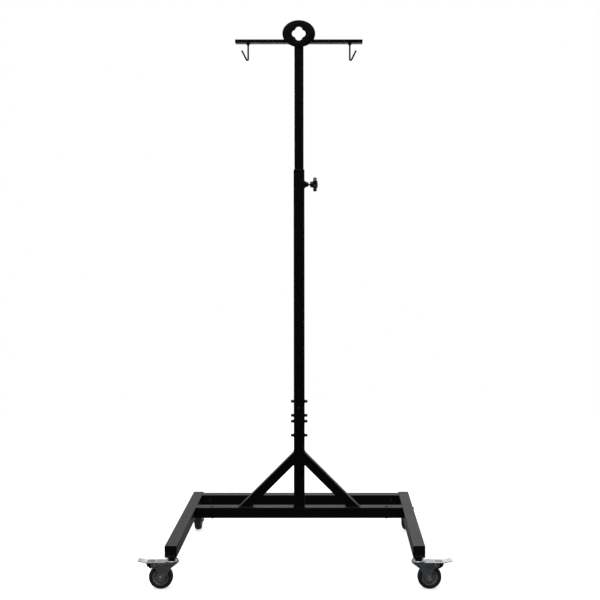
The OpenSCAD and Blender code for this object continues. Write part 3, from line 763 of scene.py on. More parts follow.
class StandEndPlugs(bpy.types.Operator):
    """Makes the moulded plug in each end of the legs."""
    bl_idname = "stand.end_plugs"
    bl_label = "End plugs"

    def execute(self, context):
        lo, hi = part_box("leg_end_plugs")
        legs = {"left": middle("left_leg").x, "right": middle("right_leg").x}
        cap_t = low("left_leg").y - lo.y
        for side, x in legs.items():
            for end, y, turn in (("front", lo.y, TURN_FRONT), ("rear", hi.y, TURN_BACK)):
                place = at(x, y, LEG_Z + POST_W / 2) @ turn @ at(0, 0, -cap_t)
                finish_piece(
                    f"{side.title()} leg {end} end plug", join((self.plug(cap_t), place)),
                    "black_plastic", "stand", ["leg_end_plugs"])
        return {"FINISHED"}

    def plug(self, cap_t):
        """The cap with its sunk middle, and the hollow skirt inside the tube."""
        half = POST_W / 2
        edge = 0.5 * MM
        loops = [self.square(half, TUBE_R, 0)]
        for angle in (0, 30, 60, 90):
            ease = edge * (1 - math.cos(math.radians(angle)))
            rise = edge * math.sin(math.radians(angle))
            loops.append(self.square(half - ease, TUBE_R - ease, cap_t - edge + rise))
        loops += [self.square(half - 0.7 * MM, TUBE_R - 0.7 * MM, cap_t),
                  self.square(half - 5 * MM, 1.6 * MM, cap_t),
                  self.square(half - 5.5 * MM, 1.2 * MM, cap_t - edge),
                  self.square(half - 5.7 * MM, MM, cap_t - edge)]
        cap = loft(loops)
        reach, wall, tail = half - 1.7 * MM, 2 * MM, 8 * MM
        skirt = plate([rectangle(-reach, reach, -reach, reach, 0.7 * MM),
                       rectangle(wall - reach, reach - wall, wall - reach, reach - wall, 0.8 * MM)], tail)
        return join((cap, at()), (skirt, at(0, 0, FIT - tail)))

    def square(self, half, r, z):
        return raised(rectangle(-half, half, -half, half, r, 6), z)


# ---- Fasteners ----

def socket_head(r, side, height, flats, depth, knurl=0.0):
    """A round screw head with a hexagon socket, standing on z = 0."""
    count, lip = 96, 0.25 * MM
    crown_h = height - side
    crown_w = r - flats * 0.62 - 0.5 * MM
    if crown_h <= MM:
        crown_h = crown_w = min(0.5 * MM, crown_h / 2)
    grip = [Vector(p) * (1 - knurl * (i % 4 // 2)) for i, p in enumerate(ring(r, count))]
    loops = [raised(ring(r - 0.2 * MM, count), 0), raised(grip, lip), raised(grip, side)]
    for k in range(1, 7):
        angle = math.radians(15 * k)
        outline = ring(r - crown_w * (1 - math.cos(angle)), count)
        loops.append(raised(outline, side + crown_h * math.sin(angle)))
    top = side + crown_h
    socket = hexagon(flats, count // 6)
    loops += [raised(hexagon(flats + 2 * lip, count // 6), top),
              raised(socket, top - lip), raised(socket, top - depth)]
    return loft(loops)


def dome_nut():
    """An M6 dome nut, standing on z = 0."""
    return join((hex_nut(9 * MM, 4 * MM, 3 * MM), at()), (dome(4.1 * MM, 3.1 * MM), at(0, 0, 3.9 * MM)))


class StandBarFasteners(bpy.types.Operator):
    """Makes the button-head bolts and the dome nuts that hold the crossbars to the legs."""
    bl_idname = "stand.bar_fasteners"
    bl_label = "Crossbar fasteners"

    def execute(self, context):
        head_r, head_h = 5 * MM, 2.15 * MM
        front_x = -low("bar_bolts").x - head_r - 27 * MM
        rear_x = -low("bar_bolts").x - head_r
        front_y, rear_y = middle("front_crossbar").y, middle("rear_crossbar").y
        centre_z = BAR_TOP - POST_W / 2
        bolts, nuts = [], []
        for side in SIDES:
            down = at(side * front_x, front_y, BAR_TOP)
            back = at(side * rear_x, rear_y - POST_W / 2, centre_z) @ TURN_FRONT
            for place in (down, back):
                head = socket_head(head_r, 0.5 * MM, head_h, 3.6 * MM, 1.3 * MM)
                bolts.append((head, place))
                bolts.append((rod(SCREW_R, -POST_W - 5 * MM, FIT), place))
            nuts.append((dome_nut(), at(side * front_x, front_y, LEG_Z) @ FLIP))
            nuts.append((dome_nut(), at(side * rear_x, rear_y + POST_W / 2, centre_z) @ TURN_BACK))
        finish_piece("Crossbar bolts", join(*bolts), "black_zinc", "stand", ["bar_bolts"])
        finish_piece("Crossbar dome nuts", join(*nuts), "black_zinc", "stand", ["bar_nuts"])
        return {"FINISHED"}


def spring_washer(r_in, r_out, height):
    """A spring washer that rises by a fifth of its height to its split, standing on z = 0."""
    wire_h, steps = height * 0.8, 60
    section = [(r_in, 0, 0), (r_out, 0, 0), (r_out, 0, wire_h), (r_in, 0, wire_h)]
    return sweep(section, steps, math.radians(346), height * 0.2 / steps)


class StandSpliceFasteners(bpy.types.Operator):
    """Makes the socket-head screws, their washers and the lock screw at the post's splice."""
    bl_idname = "stand.splice_fasteners"
    bl_label = "Splice fasteners"

    def execute(self, context):
        head_r, head_h = 5 * MM, 6 * MM
        washer_t, hole_r = (span("splice_washers").x - POST_W) / 4, 3.25 * MM
        top, bottom = high("splice_screws").z - head_r, low("splice_screws").z + head_r
        near = 10.5 * MM
        screws, washers = [], []
        for side in SIDES:
            for z in (bottom, SPLIT_Z - near, SPLIT_Z + near, top):
                out = at(side * POST_W / 2, POST.y, z) @ Matrix.Rotation(side * math.pi / 2, 4, "Y")
                head = socket_head(head_r, head_h - 0.5 * MM, head_h, 5 * MM, 3 * MM, 0.035)
                screws.append((head, out @ at(0, 0, 2 * washer_t)))
                screws.append((rod(SCREW_R, -7.6 * MM, 2 * washer_t + FIT), out))
                flat = turned([
                    (hole_r, 0, 0.1 * MM), (6 * MM, 0, 0.3 * MM),
                    (6 * MM, washer_t, 0.5 * MM), (hole_r, washer_t, 0.1 * MM)])
                washers.append((flat, out))
                turn = Matrix.Rotation(z * 97 + side, 4, "Z")
                split = spring_washer(hole_r, 5 * MM, washer_t)
                washers.append((split, out @ turn @ at(0, 0, washer_t)))
        finish_piece("Splice screws", join(*screws), "black_zinc", "stand", ["splice_screws"])
        finish_piece("Splice washers", join(*washers), "black_zinc", "stand", ["splice_washers"])
        lock_z = middle("post_lock_screw").z
        place = at(0, POST_FRONT, lock_z) @ TURN_FRONT
        head = socket_head(5.5 * MM, 0.5 * MM, 2.95 * MM, 4 * MM, 1.9 * MM)
        lock = join((head, place), (rod(SCREW_R, -6.7 * MM, FIT), place))
        finish_piece("Post lock screw", lock, "black_zinc", "stand", ["post_lock_screw"])
        return {"FINISHED"}


# ---- Clamp ----

class StandClampBoss(bpy.types.Operator):
    """Makes the boss that is welded to the post's side for the clamp screw."""
    bl_idname = "stand.clamp_boss"
    bl_label = "Clamp boss"

    def execute(self, context):
        reach = span("clamp_boss").x
        bore = AXLE_R + 0.05 * MM
        boss = turned([
            (bore, 0, 0.2 * MM), (BOSS_W / 2 - 1.2 * MM, 0, 0.2 * MM),
            (BOSS_W / 2 - 1.8 * MM, 2.2 * MM, 1 * MM), (8.2 * MM, reach * 0.7, 6 * MM),
            (7.25 * MM, reach, 0.9 * MM), (bore, reach, 0.5 * MM)], 72)
        place = at(POST_W / 2, POST.y, CLAMP_Z) @ TURN_X
        finish_piece("Clamp boss", join((boss, place)), "black_powder_coat", "stand", ["clamp_boss"])
        return {"FINISHED"}


class StandClampScrew(bpy.types.Operator):
    """Makes the threaded clamp screw and the brass slug that it pushes."""
    bl_idname = "stand.clamp_screw"
    bl_label = "Clamp screw"

    def execute(self, context):
        sizes = context.scene.stand_sizes
        lo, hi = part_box("clamp_screw")
        r = (hi.y - lo.y) / 2
        reach, chamfer = hi.x - lo.x, 0.6 * MM
        depth = sizes.screw_pitch * 0.42
        core = rod(r - depth * 0.9, 0, reach, chamfer)
        ridge = thread(r - 0.03 * MM, depth, sizes.screw_pitch, reach - 2 * chamfer)
        place = at(lo.x, POST.y, CLAMP_Z) @ TURN_X
        screw = join((core, place), (ridge, place @ at(0, 0, chamfer)))
        finish_piece("Clamp screw", screw, "bright_zinc", "clamp_turn", ["clamp_screw"], ROUND_CREASE)
        slug_lo, slug_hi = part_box("clamp_slug")
        slug = rod(r - FIT, 0, slug_hi.x - slug_lo.x, 0.5 * MM)
        finish_piece("Clamp slug", join((slug, at(slug_lo.x, POST.y, CLAMP_Z) @ TURN_X)),
                     "slug_brass", "clamp_slide", ["clamp_slug"])
        return {"FINISHED"}


class StandClampKnob(bpy.types.Operator):
    """Makes the moulded star knob with its rounded lobes, hub and domed middle."""
    bl_idname = "stand.clamp_knob"
    bl_label = "Clamp knob"

    def execute(self, context):
        sizes = context.scene.stand_sizes
        lo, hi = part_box("clamp_knob")
        knob = self.knob(sizes, (hi.z - lo.z) / 2, hi.x - lo.x)
        place = at(lo.x, POST.y, CLAMP_Z) @ TURN_X
        finish_piece("Star knob", join((knob, place)), "black_plastic", "clamp_turn",
                     ["clamp_knob"], ROUND_CREASE)
        return {"FINISHED"}

    def knob(self, sizes, outer, height):
        """The hub, the star and the domed middle, around +Z from the hub's face at z = 0."""
        hub_r, hub_h, thick, count = 11 * MM, 11 * MM, 13 * MM, 144
        bore, rim, throat, crown = 4 * MM, 4 * MM, 3 * MM, 15 * MM

        def star(inset, z, share=1.0):
            points = []
            for i in range(count):
                angle = math.tau * i / count
                hollow = (0.5 - 0.5 * math.cos(sizes.knob_lobes * angle)) ** 0.85
                star_r = outer - sizes.knob_waist * hollow * share - inset
                points.append((star_r * math.cos(angle), star_r * math.sin(angle), z))
            return points

        def circle(r, z):
            return raised(ring(r, count), z)

        quarter = [math.pi / 12 * k for k in range(7)]
        loops = [circle(bore, hub_h + 6 * MM), circle(bore, 0.4 * MM), circle(bore + 0.4 * MM, 0),
                 circle(hub_r - 2.4 * MM, 0), circle(hub_r - 1.2 * MM, 0.5 * MM),
                 circle(hub_r - 0.5 * MM, 1.6 * MM), circle(hub_r, hub_h - throat)]
        loops += [circle(hub_r + throat * (1 - math.cos(a)), hub_h - throat + throat * math.sin(a))
                  for a in (0.5, 1.0, 1.4)]
        loops.append(star(rim + 3.5 * MM, hub_h + 0.1 * MM, 0.6))
        loops += [star(rim * (1 - math.sin(a)), hub_h + rim * (1 - math.cos(a))) for a in quarter]
        face_z = hub_h + thick
        loops += [star(rim * (1 - math.cos(a)), face_z - rim * (1 - math.sin(a))) for a in quarter]
        swell = height - face_z
        loops.append(circle(crown + 0.7 * MM, face_z))
        loops += [circle(crown * math.cos(a), face_z + swell * math.sin(a))
                  for a in [math.pi / 22 * k for k in range(11)]]
        return loft(loops)


class StandPostBush(bpy.types.Operator):
    """Makes the nylon bush in the post's mouth, with its rounded lip."""
    bl_idname = "stand.post_bush"
    bl_label = "Post bush"

    def execute(self, context):
        lo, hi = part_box("post_bush")
        lip = hi.z - POST_TOP
        half, inner, seat = POST_W / 2, MAST_W / 2 + 0.3 * MM, POST_W / 2 - 1.5 * MM
        top = plate([rectangle(-half, half, -half, half, TUBE_R, 6),
                     rectangle(-inner, inner, -inner, inner, 2.5 * MM, 6)], lip, 0.5 * MM, 3)
        sleeve = plate([rectangle(-seat, seat, -seat, seat, 0.7 * MM, 6),
                        rectangle(-inner, inner, -inner, inner, 2.5 * MM, 6)], POST_TOP - lo.z)
        bm = join((top, at(0, POST.y, POST_TOP)), (sleeve, at(0, POST.y, lo.z)))
        finish_piece("Post bush", bm, "black_nylon", "stand", ["post_bush"])
        return {"FINISHED"}


# ---- Head ----

def shank_place(sizes):
    """Distance of each hook's shank from the middle."""
    return low("right_hook").x + sizes.hook_wire + 0.06 * MM


class StandCrossarm(bpy.types.Operator):
    """Makes the two halves of the crossarm, with eased edges and the hooks' holes."""
    bl_idname = "stand.crossarm"
    bl_label = "Crossarm"

    def execute(self, context):
        sizes = context.scene.stand_sizes
        for side, label in HANDS:
            lo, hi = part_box(label + "_arm")
            hole = ring(sizes.hook_wire, 32, (side * shank_place(sizes), POST.y))
            outline = rectangle(lo.x, hi.x, lo.y, hi.y, 1.2 * MM, 4)
            arm = plate([outline, hole], hi.z - lo.z, sizes.edge * 1.4, 3)
            finish_piece(label.title() + " crossarm", join((arm, at(0, 0, lo.z))),
                         "black_powder_coat", "mast", [label + "_arm"])
        lo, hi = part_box("mast_top_cap")
        cap = block(lo, hi, 0.5 * MM)
        finish_piece("Mast top cap", cap, "black_powder_coat", "mast", ["mast_top_cap"])
        return {"FINISHED"}


class StandHeadPlate(bpy.types.Operator):
    """Makes the oval head plate with its four-lobed hole and rounded edges."""
    bl_idname = "stand.head_plate"
    bl_label = "Head plate"

    def execute(self, context):
        sizes = context.scene.stand_sizes
        lo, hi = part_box("head_plate")
        wide, tall = (hi.x - lo.x) / 2, (hi.z - lo.z) / 2
        steps = 128
        oval = [(wide * math.cos(math.tau * i / steps), tall * math.sin(math.tau * i / steps))
                for i in range(steps)]
        reach, lobe = sizes.eye_reach, sizes.eye_lobe
        cusp = (reach + math.sqrt(2 * lobe ** 2 - reach ** 2)) / 2
        half = math.degrees(math.atan2(cusp, cusp - reach))
        eye = []
        for turn in (0, 90, 180, 270):
            centre = Matrix.Rotation(math.radians(turn), 2) @ Vector((reach, 0))
            eye += arc(centre, lobe, turn - half, turn + half, 24)[:-1]
        thick = hi.y - lo.y
        bm = plate([oval, eye], thick, sizes.edge * 1.5, 3)
        place = at(0, hi.y, (lo.z + hi.z) / 2) @ TURN_FRONT
        finish_piece("Head plate", join((bm, place)), "black_powder_coat", "mast", ["head_plate"])
        return {"FINISHED"}


class StandHooks(bpy.types.Operator):
    """Makes the two wire hooks, with round tips and a thread under the crossarm."""
    bl_idname = "stand.hooks"
    bl_label = "Hooks"

    def execute(self, context):
        sizes = context.scene.stand_sizes
        lo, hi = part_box("right_hook")
        r, bend = sizes.hook_wire, sizes.hook_bend
        shank_x = shank_place(sizes)
        bend_z = lo.z + r + bend + 0.06 * MM
        tip = math.degrees(sizes.hook_flare)
        path = [(shank_x, hi.z - 0.1 * MM), (shank_x, hi.z - 40 * MM)]
        path += arc((shank_x + bend, bend_z), bend, 180, 360 - tip, 28)
        end = Vector(path[-1])
        lean = Vector((math.sin(sizes.hook_flare), math.cos(sizes.hook_flare)))
        tip_z = lo.z + 38 * MM
        run = (tip_z - end.y) / lean.y
        path += [tuple(end + lean * (run - r) * k / 4) for k in range(1, 5)]
        straight = len(path)
        rounding = (0.4, 0.8, 1.15, 1.4, 1.55)
        path += [tuple(end + lean * (run - r + r * math.sin(a))) for a in rounding]
        radii = [r] * straight + [r * math.cos(a) for a in rounding]
        nut_low = low("hook_nuts").z
        pitch, run = 0.8 * MM, 7 * MM
        for side, label in HANDS:
            points = [(side * x, POST.y, z) for x, z in path]
            ridge = thread(r + 0.12 * MM, 0.5 * MM, pitch, run)
            hook = join((wire(points, radii, sides=6), at()),
                        (ridge, at(side * shank_x, POST.y, nut_low - run + pitch)))
            finish_piece(label.title() + " hook", hook, "black_powder_coat", "mast",
                         [label + "_hook"], ROUND_CREASE)
        return {"FINISHED"}


class StandHookNuts(bpy.types.Operator):
    """Makes the flange nut that locks each hook under the crossarm."""
    bl_idname = "stand.hook_nuts"
    bl_label = "Hook nuts"

    def execute(self, context):
        sizes = context.scene.stand_sizes
        lo = low("hook_nuts")
        nuts = []
        for side in SIDES:
            place = at(side * shank_place(sizes), POST.y, lo.z)
            nuts.append((hex_nut(11 * MM, 4.8 * MM, sizes.hook_wire), place))
            flange = turned([
                (sizes.hook_wire, 4 * MM, 0.1 * MM), (5.2 * MM, 4 * MM, 0.3 * MM),
                (7.2 * MM, 4.9 * MM, 0.3 * MM), (7.2 * MM, 6 * MM, 0.2 * MM),
                (sizes.hook_wire, 6 * MM, 0.1 * MM)])
            nuts.append((flange, place))
        finish_piece("Hook flange nuts", join(*nuts), "black_zinc", "mast", ["hook_nuts"])
        return {"FINISHED"}


# ---- Casters ----

class StandCasterMounts(bpy.types.Operator):
    """Makes each caster's pressed cap, flange nut and threaded stem."""
    bl_idname = "stand.caster_mounts"
    bl_label = "Caster mounts"

    def execute(self, context):
        cap_lo, cap_hi = low("swivel_caps").z, high("swivel_caps").z
        cap_r, stem_r = 21.5 * MM, 6 * MM
        height, wall = cap_hi - cap_lo, 2 * MM
        nut_lo, nut_hi = low("stem_nuts").z, high("stem_nuts").z
        stem_lo, stem_hi = low("caster_stems").z, high("caster_stems").z
        cap_profile = [
            (stem_r, height, 0.1 * MM), (cap_r - 6.5 * MM, height, 0.6 * MM),
            (cap_r - 5 * MM, height - 1.1 * MM, 0.6 * MM),
            (cap_r - 1.6 * MM, height - 1.1 * MM, 1.3 * MM),
            (cap_r, height - 3.4 * MM, 1.2 * MM), (cap_r, 0, 0.3 * MM), (cap_r - wall, 0, 0.3 * MM),
            (cap_r - wall, height - 4 * MM, 0.8 * MM),
            (cap_r - 6 * MM, height - wall - 1.2 * MM, 0.3 * MM),
            (stem_r, height - wall - 1.2 * MM, 0.1 * MM)]
        flats, flange_r, flange_t = 19 * MM, 11.5 * MM, 2.4 * MM
        flange_profile = [
            (stem_r, 0, 0.1 * MM), (9 * MM, 0, 0.3 * MM), (flange_r, 1.1 * MM, 0.3 * MM),
            (flange_r, flange_t, 0.3 * MM), (stem_r, flange_t, 0.1 * MM)]
        rivet_profile = [
            (0, 0, 0.05 * MM), (9.5 * MM, 0, 1.2 * MM), (11 * MM, 1.4 * MM, 0.5 * MM),
            (11 * MM, 2.6 * MM, 0.2 * MM), (0, 2.6 * MM, 0.05 * MM)]
        caps, nuts, stems = [], [], []
        for corner in CORNERS:
            place, _, _ = caster(corner)
            caps.append((turned(cap_profile, 96), place @ at(0, 0, cap_lo)))
            nut = hex_nut(flats, nut_hi - nut_lo - 1.8 * MM, stem_r, 10)
            nuts.append((nut, place @ at(0, 0, nut_lo)))
            nuts.append((turned(flange_profile, 72), place @ at(0, 0, nut_hi - flange_t)))
            stems.append((rod(stem_r - FIT, stem_lo + MM, stem_hi, 1 * MM), place))
            stems.append((turned(rivet_profile), place @ at(0, 0, stem_lo)))
        finish_piece("Caster caps", join(*caps), "bright_zinc", "stand", ["swivel_caps"])
        finish_piece("Caster flange nuts", join(*nuts), "black_zinc", "stand", ["stem_nuts"])
        finish_piece("Caster stems", join(*stems), "bright_zinc", "stand", ["caster_stems"])
        return {"FINISHED"}


class StandForks(bpy.types.Operator):
    """Makes each caster's pressed fork: two cheeks, a crown plate and the axle bosses."""
    bl_idname = "stand.forks"
    bl_label = "Forks"

    def execute(self, context):
        sizes = context.scene.stand_sizes
        for corner in CORNERS:
            place, trail, axle_z = caster(corner)
            brake = corner.startswith("front")
            fork = self.fork(sizes, trail, axle_z, brake)
            finish_piece(corner_label(corner) + " fork", join((fork, place)), "fork_zinc",
                         corner + "_fork_body", [corner + "_fork"])
        return {"FINISHED"}

    def fork(self, sizes, trail, axle_z, brake):
        """One fork in its caster's frame, with holes for the pedal pin where it has a brake."""
        half, t = FORK_W / 2, sizes.sheet
        crown, back, front = CROWN_Z, -22 * MM, trail + 12 * MM
        lip, end_r = trail + 30 * MM, 10.5 * MM
        end = Vector((trail - 4 * MM, axle_z - MM))
        knee = Vector((2 * MM, crown - 16.5 * MM))
        toward = end - knee
        slope = math.tan(math.atan2(toward.y, toward.x) - math.asin(end_r / toward.length))
        edge = end.x + end_r
        outline = round_corners([
            (back + 2 * MM, crown + 0.5 * MM, 0.4 * MM), (*knee, 14 * MM),
            (edge, knee.y + (edge - knee.x) * slope, end_r), (edge + MM, crown - 26.5 * MM, 14 * MM),
            (trail + 15 * MM, crown - 16.5 * MM, 7 * MM), (lip, crown - 10.5 * MM, 2.5 * MM),
            (lip, crown - 3 * MM, 1.5 * MM), (front, crown - 3 * MM, 1.2 * MM),
            (front, crown + 0.5 * MM, 0.4 * MM)], 8)
        holes = [ring(AXLE_R, 40, (trail, axle_z))]
        if brake:
            holes.append(ring(2 * MM, 24, (trail + PIN_OUT, crown - PIN_DROP)))
        shapes = []
        for side in SIDES:
            cheek = plate([outline] + holes, t, sizes.edge, 2)
            shapes.append((cheek, at(0, max(side * half, t - half), 0) @ TURN_FRONT))
            pad = turned([
                (AXLE_R, 0, 0.05 * MM), (6.3 * MM, 0, 0.05 * MM), (5.9 * MM, 0.55 * MM, 0.25 * MM),
                (AXLE_R, 0.55 * MM, 0.1 * MM)])
            inward = TURN_FRONT if side > 0 else TURN_BACK
            shapes.append((pad, at(trail, side * (half - t + FIT), axle_z) @ inward))
        corner_r = 9 * MM
        top = round_corners([
            (back, -half, corner_r), (front, -half, 0.6 * MM), (front, half, 0.6 * MM),
            (back, half, corner_r)], 8)
        shapes.append((plate([top, ring(6.05 * MM, 48)], t, sizes.edge * 1.3, 3), at(0, 0, crown)))
        return join(*shapes)


class StandWheels(bpy.types.Operator):
    """Makes each wheel: a ribbed, moulded rim and a rubber tyre with round shoulders."""
    bl_idname = "stand.wheels"
    bl_label = "Wheels"

    def execute(self, context):
        sizes = context.scene.stand_sizes
        for corner in CORNERS:
            place, trail, axle_z = caster(corner)
            wheel = place @ at(trail, 0, axle_z) @ TURN_FRONT
            finish_piece(corner_label(corner) + " rim", join((self.rim(sizes), wheel)), "rim_grey",
                         corner + "_wheel", [corner + "_rim"])
            finish_piece(corner_label(corner) + " tyre", join((self.tyre(), wheel)), "tyre_rubber",
                         corner + "_wheel", [corner + "_tyre"], TYRE_CREASE)
        return {"FINISHED"}

    def rim(self, sizes):
        """The turned rim, dished on both faces, and its ribs."""
        bore, hub_r, hub, seat = AXLE_R + 0.05 * MM, 9 * MM, HUB_W / 2, WHEEL_W / 2 - 2 * MM
        side = [(bore, hub, 0.4 * MM), (hub_r - 0.5 * MM, hub, 0.7 * MM),
                (hub_r + 0.8 * MM, 4.2 * MM, 1.2 * MM), (RIM_R - 5 * MM, 3.2 * MM, 1.5 * MM),
                (RIM_R - 3.6 * MM, seat, 0.6 * MM)]
        other = [(r, -z, e) for r, z, e in reversed(side)]
        outer = [(RIM_R, seat, 0.3 * MM), (RIM_R, -seat, 0.3 * MM)]
        shapes = [(turned(side + outer + other, 96), at())]
        rib_w, rib_h = 1.8 * MM, 14 * MM
        for i in range(sizes.rim_ribs):
            rib = block((hub_r - 0.6 * MM, -rib_w / 2, -rib_h / 2),
                        (RIM_R - 3.4 * MM, rib_w / 2, rib_h / 2), 0.35 * MM)
            shapes.append((rib, Matrix.Rotation(math.tau * (i + 0.5) / sizes.rim_ribs, 4, "Z")))
        return join(*shapes)

    def tyre(self):
        """The tyre, with the fine groove round its middle."""
        r, half = WHEEL_R, WHEEL_W / 2
        inner, groove = RIM_R - FIT, 0.35 * MM
        side = [(inner, -half + 1.4 * MM, 0.3 * MM), (inner + 2.4 * MM, -half, 1.2 * MM),
                (r - 4.5 * MM, -half, 3 * MM), (r, -half + 5 * MM, 4 * MM),
                (r, -0.9 * MM, 0.2 * MM), (r - groove, -0.45 * MM, 0.2 * MM)]
        other = [(p, -z, e) for p, z, e in reversed(side)]
        return turned(side + other, 128)


class StandAxles(bpy.types.Operator):
    """Makes each axle bolt with its hexagon head and nylon-ring lock nut."""
    bl_idname = "stand.axles"
    bl_label = "Axles"

    def execute(self, context):
        ends, flats, nut_t, ring_t = FORK_W / 2, 13 * MM, 4 * MM, 0.9 * MM
        for corner in CORNERS:
            place, trail, axle_z = caster(corner)
            across = place @ at(trail, 0, axle_z) @ TURN_BACK
            nylon = turned([
                (AXLE_R, 0, 0.1 * MM), (5.8 * MM, 0, 0.1 * MM), (5.4 * MM, ring_t, 0.5 * MM),
                (AXLE_R, ring_t, 0.2 * MM)], 48)
            bolt = join(
                (rod(AXLE_R - FIT, -ends - 0.5 * MM, ends + nut_t - 0.1 * MM), across),
                (hex_nut(flats, nut_t, 2 * MM), across @ at(0, 0, -ends - nut_t)),
                (dome(3 * MM, 0.5 * MM), across @ at(0, 0, -ends - nut_t + 0.6 * MM) @ FLIP),
                (hex_nut(flats, nut_t - ring_t, AXLE_R), across @ at(0, 0, ends)),
                (nylon, across @ at(0, 0, ends + nut_t - ring_t)))
            finish_piece(corner_label(corner) + " axle bolt", bolt, "bright_zinc",
                         corner + "_fork_body", [corner + "_axle"])
        return {"FINISHED"}


class StandPedals(bpy.types.Operator):
    """Makes the two brake pedals, their pivot pins and their curved brake blocks."""
    bl_idname = "stand.pedals"
    bl_label = "Brake pedals"

    def execute(self, context):
        sizes = context.scene.stand_sizes
        for side in ("left", "right"):
            place, trail, axle_z = caster("front_" + side)
            body = side + "_pedal_body"
            label = side.title()
            finish_piece(label + " brake pedal", join((self.pedal(sizes, trail), place)),
                         "bright_zinc", body, [side + "_pedal"])
            finish_piece(label + " brake block", join((self.brake_block(trail, axle_z), place)),
                         "brake_rubber", body, [side + "_brake_shoe"])
            across = place @ at(trail + PIN_OUT, 0, CROWN_Z - PIN_DROP) @ TURN_BACK
            end = FORK_W / 2 + 0.8 * MM
            out = at(0, 0, end - 0.78 * MM)
            pin = join((rod(2 * MM - FIT, -end, end, 0.5 * MM), across),
                       (dome(3 * MM, 0.75 * MM), across @ out),
                       (dome(3 * MM, 0.75 * MM), across @ FLIP @ out))
            finish_piece(label + " pedal pin", pin, "bright_zinc", "front_" + side + "_fork_body",
                         [side + "_pedal_pin"])
        return {"FINISHED"}

    def pedal(self, sizes, trail):
        """The slotted sheet with its raised, ribbed end and the two ears that take the pin."""
        half, t = FORK_W / 2, sizes.sheet
        start, flat, end = trail + 12.5 * MM, trail + 45 * MM, trail + 72 * MM
        rise = 5.6 * MM
        tilt = math.atan2(rise, end - flat)
        run = (end - flat) / math.cos(tilt) - t * math.sin(tilt)
        top = round_corners([
            (start, -half, 1 * MM), (flat, -half, 2.5 * MM), (flat + 2.5 * MM, 2 * MM - half, 1.5 * MM),
            (flat + run, 2 * MM - half, 4 * MM), (flat + run, half - 2 * MM, 4 * MM),
            (flat + 2.5 * MM, half - 2 * MM, 1.5 * MM), (flat, half, 2.5 * MM), (start, half, 1 * MM)], 5)
        slots = [rectangle(trail + 17 * MM, trail + 41 * MM, y - 3 * MM, y + 3 * MM, 0.6 * MM, 4)
                 for y in (-7 * MM, 7 * MM)]
        bm = plate([top] + slots, t, sizes.edge * 1.2, 3)
        folds = [flat - 1.5 * MM + k * MM for k in range(4)]
        for x in folds:
            bmesh.ops.bisect_plane(bm, geom=bm.verts[:] + bm.edges[:] + bm.faces[:],
                                   plane_co=(x, 0, 0), plane_no=(1, 0, 0))
        turn = Matrix.Rotation(-tilt / len(folds), 3, "Y")
        for x in folds:
            beyond = [v for v in bm.verts if v.co.x > x + 1e-6]
            bmesh.ops.rotate(bm, cent=(x, 0, t), matrix=turn, verts=beyond)
        shapes = [(bm, at(0, 0, CROWN_Z))]
        grip = at(flat, 0, CROWN_Z + t) @ Matrix.Rotation(-tilt, 4, "Y")
        for k in range(3):
            x = (13 + k * 3.6) * MM
            rib = wire([(x, -10 * MM, -0.15 * MM), (x, 10 * MM, -0.15 * MM)], [0.6 * MM] * 2)
            shapes.append((rib, grip))
        ear_y, ear_t = half - t - 0.3 * MM, 2 * MM
        foot = -PIN_DROP - 4 * MM
        for side in SIDES:
            ear = round_corners([(-4 * MM, foot, 3.9 * MM), (4 * MM, foot, 3.9 * MM),
                                 (5 * MM, 0.5 * MM, 0.4 * MM), (-3 * MM, 0.5 * MM, 0.4 * MM)], 6)
            hole = ring(2.05 * MM, 24, (0, -PIN_DROP))
            sheet = plate([ear, hole], ear_t, 0.3 * MM, 2)
            y = side * (ear_y - ear_t / 2) + ear_t / 2
            shapes.append((sheet, at(trail + PIN_OUT, y, CROWN_Z) @ TURN_FRONT))
        return join(*shapes)

    def brake_block(self, trail, axle_z):
        """The rubber block, curved to the tyre as it meets it, with keys that fill the slots."""
        half = span("right_brake_shoe").y / 2
        pin = Vector((trail + PIN_OUT, CROWN_Z - PIN_DROP))
        centre = pin + Matrix.Rotation(PRESS, 2) @ (Vector((trail, axle_z)) - pin)
        r = WHEEL_R + 0.45 * MM
        start, end = trail + 21 * MM, trail + 29.6 * MM
        angles = [math.degrees(math.acos((x - centre.x) / r)) for x in (start, end)]
        curve = [Vector(p) for p in arc(centre, r, angles[0], angles[1], 12)]
        outer = round_corners([
            (start, CROWN_Z, 0.3 * MM), (*curve[0], 0.1 * MM), (*curve[-1], 0.1 * MM),
            (trail + 33 * MM, CROWN_Z - 17.5 * MM, 0.8 * MM),
            (trail + 43 * MM, CROWN_Z - 9.5 * MM, 1.5 * MM), (trail + 44 * MM, CROWN_Z, 0.8 * MM)], 4)
        outline = outer[:5] + curve + outer[15:]
        shapes = [(plate([outline], 2 * half, 0.6 * MM, 2), at(0, half, 0) @ TURN_FRONT)]
        for side in SIDES:
            y = side * 7 * MM
            key = block((start, y - 2.9 * MM, CROWN_Z - 0.2 * MM),
                        (trail + 40.9 * MM, y + 2.9 * MM, CROWN_Z + 2.3 * MM), 0.5 * MM)
            shapes.append((key, at()))
        return join(*shapes)


# ---- Stage ----

